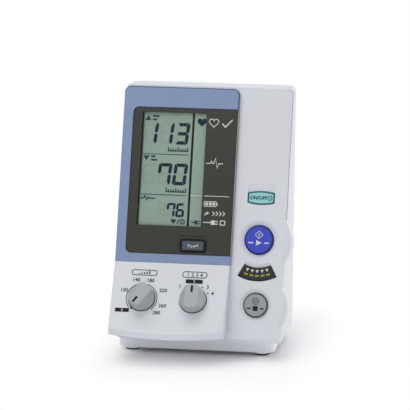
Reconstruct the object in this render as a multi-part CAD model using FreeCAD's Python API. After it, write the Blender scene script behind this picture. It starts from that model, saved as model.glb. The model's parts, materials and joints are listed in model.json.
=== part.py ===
import FreeCAD, Part
import math
import os

# Desk-top blood pressure monitor with a leaning front.
# Millimetres and degrees. X runs to the viewer's right, Y to the back and Z up.
# The origin lies on the table under the middle of the unit.
# A face frame has its local x across a face, y up along the face and z out of it.

V = FreeCAD.Vector

# Casing
casing_left = -68.5
casing_bottom = 14.7
column_width = 41.2
crown_margin = 4.37
face_foot_y = -38.718
face_lean = 19.8
back_lean = 4.6
top_fall = 6.5
wall = 2.5
flange_depth = 12.0
face_edge_bevel = 2.8
crown_round = 5.5
crown_left_round = 9.0
back_corner_round = 26.0
back_top_round = 14.0
back_foot_round = 6.0
left_foot_bevel = 7.0
left_foot_rise = 3.5
seam_width = 0.5
seam_depth = 0.8
fit_gap = 0.3
overrun = 1.0

# Display block
block_width = 90.5
bezel_foot = 59.1
bezel_length = 137.3
bezel_rise = 3.4
bezel_corner_round = 5.0
bezel_bevel = 1.0
window_left_margin = 7.7
window_right_margin = 0.7
window_top_margin = 16.05
window_foot_margin = 6.8
window_corner_round = 4.5
window_thick = 1.5
window_sink = 0.4
lens_thick = 0.8
lens_lap = 2.5
lcd_left_margin = 15.2
lcd_top_margin = 20.1
lcd_width = 50.3
lcd_foot_gap = 7.1
lcd_thick = 2.8
lcd_lap = 1.0
lcd_slack = 0.3
lcd_holder_rim = 3.0
lcd_holder_plate = 1.5
lcd_holder_depth = 3.9

# Hide button
hide_width = 18.6
hide_height = 8.9
hide_round = 1.6
hide_foot_margin = 1.85
hide_stand = 1.0
hide_left_margin = 60.4
hide_rim = 1.9
hide_rim_top = 3.4
hide_rim_depth = 0.6
hide_travel = 1.0

# Dial block
dial_foot = 6.3
dial_reach = 32.0
dial_bulge = 11.44
flare_start = 40.0
flare_steps = 5
dial_taper = 0.4
dial_lip = 5.7
dial_seam = 0.15
knob_spacing = 40.0
knob_shift = -1.0
knob_down = 30.1
knob_pad_radius = 12.6
knob_pad_rise = 0.4
dial_edge_round = 1.6

# Knobs and rotary controls
knob_radius = 10.3
knob_top_radius = 9.4
knob_height = 9.5
knob_skirt = 2.6
knob_lift = 0.5
grip_half_foot = 9.4
grip_half_top = 5.0
pointer_length = 6.4
pointer_width = 1.8
pointer_depth = 0.5
pointer_margin = 1.0
shaft_radius = 3.0
shaft_fit = 0.05
bushing_radius = 3.5
bushing_rise = 3.4
nut_radius = 5.5
nut_height = 1.8
nut_sides = 6
rotary_size = 16.0
rotary_depth = 8.0
knob_cap = 2.0
preset_rest = 145.0
mode_rest = 0.0

# Column buttons
button_travel = 1.2
button_gap = 0.45
button_flange = 1.5
flange_thick = 1.0
collar_depth = 4.5
collar_wall = 1.8
stem_radius = 3.0
stem_length = 1.2
button_edge = 0.6
start_radius = 11.1
start_dish_width = 4.2
start_stand = 0.6
stop_up = 29.6
stop_radius = 9.25
stop_dish_width = 3.55
stop_stand = 0.6
dish_depth = 1.5
onoff_gap = 16.4
onoff_width = 20.3
onoff_side_height = 7.3
onoff_height = 10.0
onoff_stand = 0.5
onoff_scoop = 6.7
onoff_scoop_arch = 1.6
deflation_gap = 9.55
deflation_width = 9.7
deflation_half_angle = 27.5
deflation_stand = 0.5
deflation_scoop = 3.6
deflation_dish_gap = 3.1
scoop_depth = 1.4

# Grip lobes on the right side
start_lobe_radius = 25.9
stop_lobe_radius = 25.2
lobe_round = 4.0
lobe_root = 10.0
lobe_step = 15

# Boards
board_thick = 1.6
board_margin = 3.8
board_gap = 0.9
board_boss_radius = 3.0
board_boss_gap = 2.1
board_screw_radius = 1.0
board_screw_head = 2.0
board_screw_bite = 2.6
main_board_foot_margin = 3.85
main_board_right_margin = 4.0
buzzer_radius = 6.0
buzzer_height = 3.5
buzzer_inset = 14.1
dome_radius = 3.0
dome_height = 0.6
chip_list = [
    (0.0, 36.0, 14.0, 14.0, 1.6),
    (-18.0, 68.0, 10.0, 7.0, 1.2),
    (18.0, 68.0, 8.0, 12.0, 1.8),
    (0.0, 94.0, 22.0, 6.0, 1.4),
]
control_board_foot_margin = 3.3
control_board_top_margin = 5.3
control_board_left_margin = 3.5
control_board_right_margin = 11.0
mat_thick = 0.8
mat_margin = 1.5
mat_dome_height = 0.3
mat_dome_radius = 4.5

# Case screws
post_radius = 4.5
boss_radius = 3.8
screw_radius = 1.5
screw_slack = 0.2
screw_fit = 0.05
screw_head_radius = 2.8
screw_head_height = 2.0
screw_seat = 3.0
screw_bite = 7.0
screw_side_margin = 6.5
screw_top_margin = 10.7
screw_left_rise = 13.3
screw_right_drop = 13.4

# Plinth and feet
tray_left_inset = 2.3
tray_right_inset = 7.5
tray_set_back = 17.068
tray_end_margin = 6.55
tray_back_margin = 4.295
tray_bottom = 3.0
tray_round = 8.0
tray_floor = 2.5
tray_side_ledge = 12.0
opening_gap = 0.55
opening_round = 2.0
foot_radius = 5.7
foot_stand = 1.3
foot_boss = 0.9
foot_side_inset = 10.3
foot_end_inset = 9.0
foot_socket = 1.0
base_screw_inset = 6.5
base_screw_span = 20.0
base_boss_rise = 8.0

# Battery and its cover
cell_radius = 7.2
cell_length = 50.5
cell_count = 5
cell_sleeve = 0.3
battery_slack = 0.4
well_wall = 2.0
cover_thick = 1.8
tongue_thick = 1.2
tongue_reach = 1.5
rail_cap = 2.2
cover_groove_count = 5
cover_groove_pitch = 3.0
cover_groove_width = 1.2
cover_groove_depth = 0.6

# Pneumatic unit
pump_head_radius = 14.0
pump_head_length = 22.0
motor_radius = 12.0
motor_length = 36.0
motor_cap_radius = 5.0
motor_cap_length = 3.0
bracket_thick = 2.5
saddle_floor = 2.0
saddle_width = 8.0
saddle_cheek = 5.0
strap_thick = 1.2
pump_fit = 0.1
pump_ring = 2.0
block_round = 1.0
bracket_round = 2.0
barb_radius = 2.0
barb_bore = 1.0
barb_length = 6.0
hose_fit = 0.1
hose_wall = 1.4
hose_gap = 1.0
manifold_length = 14.0
manifold_size = 12.0
sensor_size = 10.0
sensor_height = 6.0
sensor_port_radius = 1.5
port_depth = 3.0
valve_radius = 7.0
valve_length = 20.0
valve_nose_radius = 2.5
valve_coil = 10.0
valve_groove = 1.0
connector_radius = 7.0
connector_flange_radius = 9.5
connector_flange = 2.0
connector_length = 11.0
socket_radius = 3.0
socket_depth = 8.5
connector_sink = 0.2

# Power inlet, vents and rating plate on the back
inlet_margin = 4.0
inlet_up = 22.0
inlet_radius = 5.0
inlet_bore = 3.1
inlet_bore_depth = 9.0
inlet_pin_radius = 1.0
inlet_length = 12.0
inlet_flange = 2.0
inlet_flange_radius = 7.5
plate_width = 58.0
plate_height = 34.0
plate_thick = 0.5
plate_sink = 0.4
plate_gap = 6.0
plate_round = 2.0
vent_count = 7
vent_pitch = 5.5
vent_width = 2.2
vent_length = 34.0
vent_top_margin = 18.5
vent_end_flat = 0.05

# Longer than anything in the unit, and the smallest corner that is rounded
far = 400.0
least_round = 0.4


def tangent(angle):
    return math.tan(math.radians(angle))


def sine(angle):
    return math.sin(math.radians(angle))


def cosine(angle):
    return math.cos(math.radians(angle))


# Worked out from the sizes above: across the unit
casing_right = casing_left + block_width + column_width
block_right = casing_left + block_width
block_middle = casing_left + block_width / 2
column_middle = (block_right + casing_right) / 2
casing_middle = (casing_left + casing_right) / 2
inlet_x = casing_right - back_corner_round - inlet_flange_radius - inlet_margin
hide_x = casing_left + hide_left_margin

# Up the face: the display block sets the height
bezel_top = bezel_foot + bezel_length
casing_rise = (bezel_top + crown_margin) * cosine(face_lean)
casing_top = casing_bottom + casing_rise
back_height = (casing_rise - top_fall) / cosine(back_lean)
vent_top = back_height - vent_top_margin
vent_low = vent_top - vent_width - (vent_count - 1) * vent_pitch
plate_up = vent_low - plate_gap - plate_height
window_box = (
    casing_left + window_left_margin,
    block_right - window_right_margin,
    bezel_foot + window_foot_margin,
    bezel_top - window_top_margin,
)
hide_middle = window_box[2] + hide_foot_margin + hide_rim / 2 + hide_height / 2
lcd_box = (
    casing_left + lcd_left_margin,
    casing_left + lcd_left_margin + lcd_width,
    hide_middle + hide_height / 2 + hide_rim_top + lcd_foot_gap,
    bezel_top - lcd_top_margin,
)

# Up the column: each button stands on the one below it
start_dish = start_radius + start_dish_width
stop_dish = stop_radius + stop_dish_width
deflation_inner = start_dish + deflation_dish_gap + deflation_scoop
deflation_outer = deflation_inner + deflation_width
deflation_middle = (deflation_inner + deflation_outer) / 2
start_up = stop_up + stop_radius + deflation_gap + deflation_outer
onoff_up = start_up + start_radius + onoff_gap + onoff_height / 2

# Levels behind the face
window_front = bezel_rise - window_sink
window_seat = window_front - window_thick
board_front = -(wall + lcd_holder_depth)
button_seat = collar_depth + fit_gap + flange_thick + stem_length
control_board_depth = button_seat + button_travel + fit_gap + mat_dome_height + mat_thick

# Through the unit: the battery sets the tray and the tray sets the depth
battery_width = 2 * cell_radius * cell_count + 2 * cell_sleeve
battery_height = 2 * (cell_radius + cell_sleeve)
battery_length = cell_length + 2 * cell_sleeve
well_half_width = battery_width / 2 + battery_slack
well_half_length = battery_length / 2 + battery_slack
tray_depth = 2 * (well_half_length + well_wall + tray_end_margin)
casing_depth = tray_set_back + tray_depth + tray_back_margin
tray_front_y = face_foot_y + tray_set_back
tray_left = casing_left + tray_left_inset
tray_right = casing_right - tray_right_inset
tray_back = tray_front_y + tray_depth
tray_middle_x = (tray_left + tray_right) / 2
tray_middle_y = (tray_front_y + tray_back) / 2
tongue_low = tray_bottom + cover_thick
tongue_high = tongue_low + tongue_thick
battery_low = tongue_high + fit_gap
roof_low = battery_low + battery_height + battery_slack
roof_top = roof_low + well_wall
opening_half_length = well_half_length + well_wall + opening_gap
bottom_opening = (
    tray_left + tray_side_ledge,
    tray_right - tray_side_ledge,
    tray_middle_y - opening_half_length,
    tray_middle_y + opening_half_length,
)

# Along the pneumatic line, from the air connector to the motor
pump_axis_z = roof_top + bracket_thick + saddle_floor + pump_head_radius
pump_y = tray_middle_y
connector_inner = casing_left + connector_length
connector_tip = connector_inner + barb_length
manifold_left_tip = connector_tip + hose_gap
manifold_left = manifold_left_tip + barb_length
manifold_right = manifold_left + manifold_length
manifold_right_tip = manifold_right + barb_length
manifold_middle = (manifold_left + manifold_right) / 2
pump_tip = manifold_right_tip + hose_gap
pump_left = pump_tip + barb_length
motor_left = pump_left + pump_head_length
motor_right = motor_left + motor_length

# Places of the screws and feet
case_screw_points = [
    (casing_left + screw_side_margin, bezel_top - screw_top_margin),
    (casing_right - screw_side_margin, bezel_top - screw_top_margin),
    (casing_left + screw_side_margin, bezel_foot + screw_left_rise),
    (casing_right - screw_side_margin, start_up - screw_right_drop),
]
main_board_box = (
    casing_left + screw_side_margin + boss_radius + board_gap,
    block_right - main_board_right_margin,
    hide_middle - hide_height / 2 - main_board_foot_margin,
    lcd_box[3] + lcd_lap + lcd_holder_rim + board_boss_gap + board_boss_radius + board_margin,
)
main_board_points = [
    (x, up)
    for up in (main_board_box[2] + board_margin, main_board_box[3] - board_margin)
    for x in (main_board_box[0] + board_margin + board_boss_radius, main_board_box[1] - board_margin)
]
control_board_box = (
    block_right + control_board_left_margin,
    casing_right - control_board_right_margin,
    stop_up - stop_radius - control_board_foot_margin,
    onoff_up + onoff_height / 2 + control_board_top_margin,
)
control_board_gap_up = (start_up + start_dish + onoff_up - onoff_height / 2) / 2
control_board_low_up = (stop_up + stop_radius + start_up - deflation_outer) / 2
control_board_points = [
    (control_board_box[0] + board_margin, control_board_gap_up),
    (control_board_box[1] - board_margin, control_board_gap_up),
    (control_board_box[0] + board_margin, control_board_low_up),
]
base_screw_points = [
    (x, tray_middle_y + side * base_screw_span / 2)
    for x in (tray_left + base_screw_inset, tray_right - base_screw_inset)
    for side in (-1, 1)
]
foot_points = [
    (x, y)
    for x in (tray_left + foot_side_inset, tray_right - foot_side_inset)
    for y in (tray_front_y + foot_end_inset, tray_back - foot_end_inset)
]


# Drawing helpers


def face_frame(y, z, lean):
    """Frame on a front face that leans back, with its local z out of the face."""
    out = V(0, -cosine(lean), sine(lean))
    up = V(0, sine(lean), cosine(lean))
    return FreeCAD.Placement(V(0, y, z), FreeCAD.Rotation(V(1, 0, 0), up, out, "ZXY"))


def back_frame(y, z, lean):
    """Frame on a back face whose top lies further back, with its local z out of the face."""
    out = V(0, cosine(lean), -sine(lean))
    up = V(0, sine(lean), cosine(lean))
    return FreeCAD.Placement(V(0, y, z), FreeCAD.Rotation(V(-1, 0, 0), up, out, "ZXY"))


def shifted(place, x=0.0, y=0.0, z=0.0):
    return place.multiply(FreeCAD.Placement(V(x, y, z), FreeCAD.Rotation()))


def at(shape, place, x=0.0, y=0.0, z=0.0):
    """Copy of a shape drawn in local sizes, put at a local point of a frame."""
    moved = shape.copy()
    moved.Placement = shifted(place, x, y, z).multiply(moved.Placement)
    return moved


def outline(points, radii):
    """Closed wire through flat points, with a tangent arc at each corner that has a radius."""
    corners = [V(x, y, 0) for x, y in points]
    count = len(corners)
    bends = []
    for index in range(count):
        corner = corners[index]
        back = (corners[index - 1] - corner).normalize()
        ahead = (corners[(index + 1) % count] - corner).normalize()
        if radii[index] <= 0:
            bends.append((corner, corner, None))
            continue
        half = back.getAngle(ahead) / 2
        reach = radii[index] / math.tan(half)
        inward = (back + ahead).normalize()
        middle = corner + inward * (radii[index] / math.sin(half) - radii[index])
        bends.append((corner + back * reach, corner + ahead * reach, middle))
    edges = []
    for index in range(count):
        first, last, middle = bends[index]
        if middle is not None:
            edges.append(Part.Arc(first, middle, last).toShape())
        following = bends[(index + 1) % count][0]
        if last.distanceToPoint(following) > 1e-6:
            edges.append(Part.LineSegment(last, following).toShape())
    return Part.Wire(edges)


def prism(points, radii, low, high):
    face = Part.Face(outline(points, radii))
    face.translate(V(0, 0, low))
    return face.extrude(V(0, 0, high - low))


def rectangle(left, right, low, high):
    return [(left, low), (right, low), (right, high), (left, high)]


def block(left, right, front, back, low, high, radius=0.0):
    """Upright block with its four upright edges rounded."""
    return prism(rectangle(left, right, front, back), [radius] * 4, low, high)


def cylinder(radius, low, high):
    return Part.makeCylinder(radius, high - low, V(0, 0, low))


def tube(outer, inner, low, high):
    return cylinder(outer, low, high).cut(cylinder(inner, low, high))


def along_x(shape):
    """Turn a shape drawn along local z so that it runs along X."""
    turned = shape.copy()
    turned.rotate(V(0, 0, 0), V(0, 1, 0), 90)
    return turned


def along_y(shape):
    """Turn a shape drawn along local z so that it runs along Y, to the back."""
    turned = shape.copy()
    turned.rotate(V(0, 0, 0), V(1, 0, 0), -90)
    return turned


def revolved(points, angle=360.0):
    """Solid of revolution about local z of a profile given as radius and height."""
    wire = Part.makePolygon([V(r, 0, z) for r, z in points + points[:1]])
    return Part.Face(wire).revolve(V(0, 0, 0), V(0, 0, 1), angle)


def inset(points, amount):
    """Corners of a convex outline, drawn anticlockwise, moved inward by an amount."""
    count = len(points)
    moved = []
    for index in range(count):
        lines = []
        for start in (index - 1, index):
            x0, y0 = points[start]
            x1, y1 = points[(start + 1) % count]
            length = math.hypot(x1 - x0, y1 - y0)
            normal = (-(y1 - y0) / length, (x1 - x0) / length)
            offset = normal[0] * x0 + normal[1] * y0 + amount
            lines.append((normal[0], normal[1], offset))
        (a, b, c), (d, e, f) = lines
        scale = a * e - b * d
        moved.append(((c * e - b * f) / scale, (a * f - c * d) / scale))
    return moved


def fused(shapes):
    whole = shapes[0]
    for shape in shapes[1:]:
        whole = whole.fuse(shape)
    return whole


def less(shape, cutters):
    for cutter in cutters:
        shape = shape.cut(cutter)
    return shape


def softened(shape, radius, wanted):
    """Round the edges of a shape for which the test holds."""
    edges = [edge for edge in shape.Edges if wanted(edge)]
    return shape.makeFillet(radius, edges)


def bevelled(shape, width, wanted):
    """Bevel the edges of a shape for which the test holds."""
    edges = [edge for edge in shape.Edges if wanted(edge)]
    return shape.makeChamfer(width, edges)


def on_plane(edge, place, level):
    """Whether an edge lies in the plane at a level above a frame."""
    back = place.inverse()
    points = [back.multVec(point) for point in edge.discretize(5)]
    return all(abs(point.z - level) < 1e-4 for point in points)


# Frames of the faces
FACE = face_frame(face_foot_y, casing_bottom, face_lean)
BACK = back_frame(face_foot_y + casing_depth, casing_bottom, back_lean)
LEVEL = FreeCAD.Placement()

dial_top = FACE.multVec(V(0, bezel_foot, bezel_rise))
dial_bottom_y = dial_top.y - dial_reach
dial_bottom_z = casing_bottom + dial_foot + dial_lip
dial_rise = dial_top.z - dial_bottom_z


knob_lean = math.degrees(math.atan2(dial_reach, dial_rise))
dial_length = math.hypot(dial_reach, dial_rise)
flare_share = flare_start / dial_length
DIAL = face_frame(dial_top.y, dial_top.z, knob_lean)
knob_places = {
    "preset": shifted(DIAL, block_middle + knob_shift - knob_spacing / 2, -knob_down),
    "mode": shifted(DIAL, block_middle + knob_shift + knob_spacing / 2, -knob_down),
}

knob_rests = {
    name: place.multiply(FreeCAD.Placement(V(0, 0, 0), FreeCAD.Rotation(V(0, 0, 1), rest)))
    for (name, place), rest in zip(knob_places.items(), (preset_rest, mode_rest))
}

start_place = shifted(FACE, column_middle, start_up)
stop_place = shifted(FACE, column_middle, stop_up)
onoff_place = shifted(FACE, column_middle, onoff_up)
hide_place = shifted(FACE, hide_x, hide_middle)


def grown(box, amount):
    left, right, low, high = box
    return rectangle(left - amount, right + amount, low - amount, high + amount)


# Casing shells


def side_outline():
    back_bottom = face_foot_y + casing_depth
    back_top_z = casing_top - top_fall
    return [
        (face_foot_y, casing_bottom),
        (back_bottom, casing_bottom),
        (back_bottom + (back_top_z - casing_bottom) * tangent(back_lean), back_top_z),
        (face_foot_y + casing_rise * tangent(face_lean), casing_top),
    ]


def hull(amount):
    """Whole casing without the dial block, made smaller all round by an amount."""
    side = side_outline()
    side_place = FreeCAD.Placement(V(0, 0, 0), FreeCAD.Rotation(V(1, 1, 1), 120))
    side_rounds = [0, back_foot_round - amount, back_top_round - amount, 0]
    body = at(prism(inset(side, amount), side_rounds, -far, far), side_place)
    back_start = side[1][0] - casing_bottom * tangent(back_lean)
    plan = inset(rectangle(casing_left, casing_right, -far, back_start), amount)
    corner = back_corner_round - amount
    upright = Part.Face(outline(plan, [0, 0, corner, corner]))
    foot = [
        (casing_left + left_foot_bevel, casing_bottom),
        (casing_right, casing_bottom),
        (casing_right, far),
        (casing_left, far),
        (casing_left, casing_bottom + left_foot_rise),
    ]
    body = body.common(at(prism(inset(foot, amount), [0] * 5, -far, far), face_frame(0, 0, 0)))
    body = body.common(upright.extrude(V(0, far * tangent(back_lean), far)))
    crown = inset(rectangle(casing_left, casing_right, -far, casing_top), amount)
    arch = Part.Face(outline(crown, [0, 0, crown_round - amount, crown_left_round - amount]))
    arch.Placement = face_frame(side[3][0], 0, 0)
    fall = V(0, side[2][0] - side[3][0], side[2][1] - side[3][1])
    reach = fall.normalize() * far
    arch.translate(reach * -0.5)
    return body.common(arch.extrude(reach))


def lobe(place, radius, rim, low, high):
    """Rounded bulge that a thumb rests on, round with a button and cut to the right side."""
    rim = max(rim, least_round)
    arc = []
    for turn in range(0, 90 + lobe_step, lobe_step):
        arc.append((radius - rim * (1 - cosine(turn)), high - rim * (1 - sine(turn))))
    round_block = at(revolved([(0, low), (radius, low)] + arc + [(0, high)]), place)
    keep = at(block(casing_right - lobe_root, far, -far, far, -far, far), FACE)
    return round_block.common(keep)


def dial_front_edge(edge):
    """Whether an edge of the dial block lies round its panel or its lip, away from the display."""
    middle = edge.CenterOfMass
    box = edge.BoundBox
    across = box.ZLength < least_round and middle.z > dial_bottom_z + least_round
    in_front = box.YMax < dial_top.y + least_round
    return in_front and not across and middle.z < dial_top.z - dial_lip


def dial_level(share, swell, amount):
    """Outline of the dial block at a share of its way down, with a front that swells forward."""
    drop = amount / cosine(knob_lean)
    left = casing_left + amount + dial_taper * share
    right = block_right - amount - dial_taper * share
    front = dial_top.y - dial_reach * share + drop
    z = dial_top.z - dial_rise * share
    ends = [V(left, front, z), V(right, front, z), V(right, casing_depth, z), V(left, casing_depth, z)]
    bow = Part.Arc(ends[0], V(block_middle, front - max(swell, dial_seam), z), ends[1]).toShape()
    sides = [Part.LineSegment(ends[index], ends[(index + 1) % 4]).toShape() for index in (1, 2, 3)]
    return Part.Wire([bow] + sides)


def dial_wedge(amount):
    """Dial block below the display, made smaller all round by an amount."""
    levels = []
    for step in range(flare_steps + 1):
        part = step / flare_steps
        share = flare_share + (1 - flare_share) * part
        levels.append(dial_level(share, dial_bulge * part**2, amount))
    panel = Part.makeLoft([dial_level(0, 0, amount), levels[0]], True, True)
    flare = Part.makeLoft(levels, True, False)
    lip = Part.Face(levels[-1]).extrude(V(0, 0, amount - dial_lip))
    below_bezel = bezel_foot - dial_seam - amount
    keep = at(block(-far, far, -far, below_bezel, -amount - wall / 2, far), FACE)
    solid = panel.fuse(flare).fuse(lip)
    if amount == 0:
        solid = softened(solid, dial_edge_round, dial_front_edge)
    return solid.common(keep)


def disc_shape(radius):
    return lambda grow, low, high: cylinder(radius + grow, low, high)


def bowed_bar(half, side, crest, low, high):
    """Bar with straight sides and a bowed top and bottom."""
    edges = [
        Part.Arc(V(-half, -side, low), V(0, -crest, low), V(half, -side, low)).toShape(),
        Part.LineSegment(V(half, -side, low), V(half, side, low)).toShape(),
        Part.Arc(V(half, side, low), V(0, crest, low), V(-half, side, low)).toShape(),
        Part.LineSegment(V(-half, side, low), V(-half, -side, low)).toShape(),
    ]
    return Part.Face(Part.Wire(edges)).extrude(V(0, 0, high - low))


def barrel_shape(grow, low, high):
    """On and off button."""
    half = onoff_width / 2 + grow
    return bowed_bar(half, onoff_side_height / 2 + grow, onoff_height / 2 + grow, low, high)


def fan_shape(grow, low, high):
    """Deflation button: part of a ring round the start button."""
    inner = deflation_inner - grow
    outer = deflation_outer + grow
    half = deflation_half_angle + math.degrees(grow / deflation_middle)
    ring = tube(outer, inner, low, high)
    side = far * tangent(half)
    return ring.common(prism([(0, 0), (-side, -far), (side, -far)], [0] * 3, low, high))


def slot_shape(grow, low, high):
    """Hide button: a rounded bar."""
    half_width = hide_width / 2 + grow
    half_height = hide_height / 2 + grow
    return block(-half_width, half_width, -half_height, half_height, low, high, hide_round + grow)


column_buttons = {
    "start": (start_place, disc_shape(start_radius), start_stand, (0, 0)),
    "stop": (stop_place, disc_shape(stop_radius), stop_stand, (0, 0)),
    "onoff": (onoff_place, barrel_shape, onoff_stand, (0, 0)),
    "deflation": (start_place, fan_shape, deflation_stand, (0, -deflation_middle)),
}


def scoop_cutters():
    """Hollows beside the buttons, where a fingertip comes in."""
    cutters = []
    rounds = ((start_place, start_radius, start_dish), (stop_place, stop_radius, stop_dish))
    for place, hole, dish in rounds:
        floor = hole + button_gap
        profile = [(0, -dish_depth), (floor, -dish_depth), (dish, 0), (dish, wall), (0, wall)]
        cutters.append(at(revolved(profile), place))
    low = onoff_side_height / 2 - scoop_depth
    high = onoff_height / 2 + onoff_scoop
    side = [(low, wall), (low, -scoop_depth), (high, 0), (high, wall)]
    ramp = prism(side, [0] * 4, 0, onoff_width)
    turn = FreeCAD.Placement(V(-onoff_width / 2, 0, 0), FreeCAD.Rotation(V(1, 1, 1), 120))
    ramp.Placement = turn.multiply(ramp.Placement)
    arch = bowed_bar(onoff_width / 2, high - onoff_scoop_arch, high, -wall, far)
    cutters.append(at(ramp.common(arch), onoff_place))
    near = deflation_inner - deflation_scoop
    rim = deflation_inner + button_gap
    profile = [(near, 0), (rim, -scoop_depth), (rim, wall), (near, wall)]
    fan = revolved(profile, 2 * deflation_half_angle)
    fan.rotate(V(0, 0, 0), V(0, 0, 1), -90 - deflation_half_angle)
    cutters.append(at(fan, start_place))
    return cutters


def column_edge(edge):
    """Whether an edge lies round the front of the button column, away from the display."""
    return on_plane(edge, FACE, 0) and edge.CenterOfMass.x > block_right + overrun


def crest_cutter():
    """Wedge that bevels the crest over the display like the rim of the column beside it."""
    side = side_outline()
    fall = V(0, side[2][0] - side[3][0], side[2][1] - side[3][1]).normalize() * face_edge_bevel
    corner = V(0, side[3][0], side[3][1])
    low = corner - FACE.Rotation.multVec(V(0, face_edge_bevel, 0))
    slope = corner + fall - low
    ends = [low - slope, low + slope * 2]
    ends += [point + V(0, 0, far) for point in reversed(ends)]
    wedge = Part.Face(Part.makePolygon(ends + ends[:1])).extrude(V(far, 0, 0))
    wedge.translate(V(block_right - far, 0, 0))
    return wedge


def cover_walls():
    """Front cover without its bosses and holes."""
    front = at(block(-far, far, -far, far, -flange_depth, far), FACE)
    slab = hull(0).common(front)
    column = slab.common(block(block_right, far, -far, far, -far, far))
    column = bevelled(column, face_edge_bevel, column_edge)
    beside = slab.common(block(-far, block_right, -far, far, -far, far)).cut(crest_cutter())
    shell = column.fuse(beside)
    hollows = [hull(wall).common(front), dial_wedge(wall)]
    for place, radius in ((start_place, start_lobe_radius), (stop_place, stop_lobe_radius)):
        shell = shell.fuse(lobe(place, radius, lobe_round, -flange_depth, 0))
        hollows.append(lobe(place, radius - wall, lobe_round - wall, -flange_depth, -wall))
    shell = shell.fuse(dial_wedge(0)).removeSplitter()
    return less(shell, hollows)


def cover_bosses():
    """Screw bosses, button collars and knob pads of the front cover."""
    root = -wall / 2
    boss = cylinder(boss_radius, -flange_depth, root)
    added = [at(boss, FACE, x, up) for x, up in case_screw_points]
    boss = cylinder(board_boss_radius, board_front, root)
    added += [at(boss, FACE, x, up) for x, up in main_board_points]
    boss = cylinder(board_boss_radius, -control_board_depth, root)
    added += [at(boss, FACE, x, up) for x, up in control_board_points]
    for place, shape, _, _ in column_buttons.values():
        added.append(at(shape(button_gap + collar_wall, -collar_depth, root), place))
    pad = cylinder(knob_pad_radius, -wall, knob_pad_rise)
    added += [at(pad, place) for place in knob_places.values()]
    return added


def cover_holes():
    """Openings of the front cover for buttons, display, knobs and screws."""
    cutters = scoop_cutters()
    for place, shape, _, _ in column_buttons.values():
        cutters.append(at(shape(button_gap, -collar_depth - overrun, wall), place))
    sight = prism(grown(lcd_box, lcd_lap + lcd_slack), [0] * 4, -wall - overrun, overrun)
    cutters.append(at(sight, FACE))
    cutters.append(at(slot_shape(button_gap, -wall - overrun, overrun), hide_place))
    half = rotary_size / 2 + fit_gap
    for place in knob_places.values():
        cutters.append(at(cylinder(bushing_radius + fit_gap, -wall - rotary_depth, wall), place))
        cutters.append(at(block(-half, half, -half, half, -wall - rotary_depth, -wall), place))
    pilot = cylinder(screw_radius + screw_fit, -flange_depth - overrun, screw_bite - flange_depth)
    cutters += [at(pilot, FACE, x, up) for x, up in case_screw_points]
    boards = ((-board_front, main_board_points), (control_board_depth, control_board_points))
    for depth, points in boards:
        pilot = cylinder(board_screw_radius + screw_fit, -depth - overrun, board_screw_bite - depth)
        cutters += [at(pilot, FACE, x, up) for x, up in points]
    return cutters


def front_cover():
    shell = fused([cover_walls()] + cover_bosses())
    return less(shell, cover_holes()).removeSplitter()


def rear_walls():
    """Rear cover with its screw posts, before its holes are cut."""
    behind = at(block(-far, far, -far, far, -far, -flange_depth), FACE)
    body = hull(0)
    shell = body.common(behind).cut(hull(wall))
    band = at(block(-far, far, -far, far, -flange_depth - seam_width, -flange_depth), FACE)
    shell = shell.cut(body.common(band).cut(hull(seam_depth)))
    post = cylinder(post_radius, -far, -flange_depth)
    posts = [at(post, FACE, x, up).common(body) for x, up in case_screw_points]
    pillar = cylinder(boss_radius, casing_bottom + wall / 2, casing_bottom + base_boss_rise)
    posts += [at(pillar, LEVEL, x, y) for x, y in base_screw_points]
    return fused([shell] + posts)


def back_holes():
    """Openings in the back for the power inlet, the rating plate and the vents."""
    cutters = [at(cylinder(inlet_radius + fit_gap, -wall - overrun, overrun), BACK, -inlet_x, inlet_up)]
    half = plate_width / 2
    recess = block(-half, half, 0, plate_height, -plate_thick, overrun, plate_round)
    cutters.append(at(recess, BACK, -casing_middle, plate_up))
    half = vent_length / 2
    end_round = vent_width / 2 - vent_end_flat
    slot = block(-half, half, 0, vent_width, -wall - overrun, overrun, end_round)
    for index in range(vent_count):
        cutters.append(at(slot, BACK, -casing_middle, vent_low + index * vent_pitch))
    return cutters


def rear_cover():
    cutters = back_holes()
    for x, up in case_screw_points:
        head = cylinder(screw_head_radius + screw_slack, -far, -flange_depth - screw_seat)
        cutters.append(at(head, FACE, x, up))
        shank = cylinder(screw_radius + screw_slack, -far, overrun - flange_depth)
        cutters.append(at(shank, FACE, x, up))
    pilot = cylinder(screw_radius + screw_fit, 0, casing_bottom + screw_bite)
    cutters += [at(pilot, LEVEL, x, y) for x, y in base_screw_points]
    cutters.append(block(*bottom_opening, 0, casing_bottom + wall + overrun, opening_round))
    port = along_x(cylinder(connector_radius + fit_gap, -wall - overrun, wall + overrun))
    cutters.append(at(port, LEVEL, casing_left, pump_y, pump_axis_z))
    return less(rear_walls(), cutters).removeSplitter()


# Plinth


def well_block(grow, low, high):
    half_width = well_half_width + grow
    half_length = well_half_length + grow
    shape = block(-half_width, half_width, -half_length, half_length, low, high)
    return at(shape, LEVEL, tray_middle_x, tray_middle_y)


def cover_slot(reach, low, high, back):
    """Straight way out to the rear for the battery cover or its tongues."""
    half_width = well_half_width - tongue_reach + reach
    shape = block(-half_width, half_width, -well_half_length - fit_gap, back, low, high)
    return at(shape, LEVEL, tray_middle_x, tray_middle_y)


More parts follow.
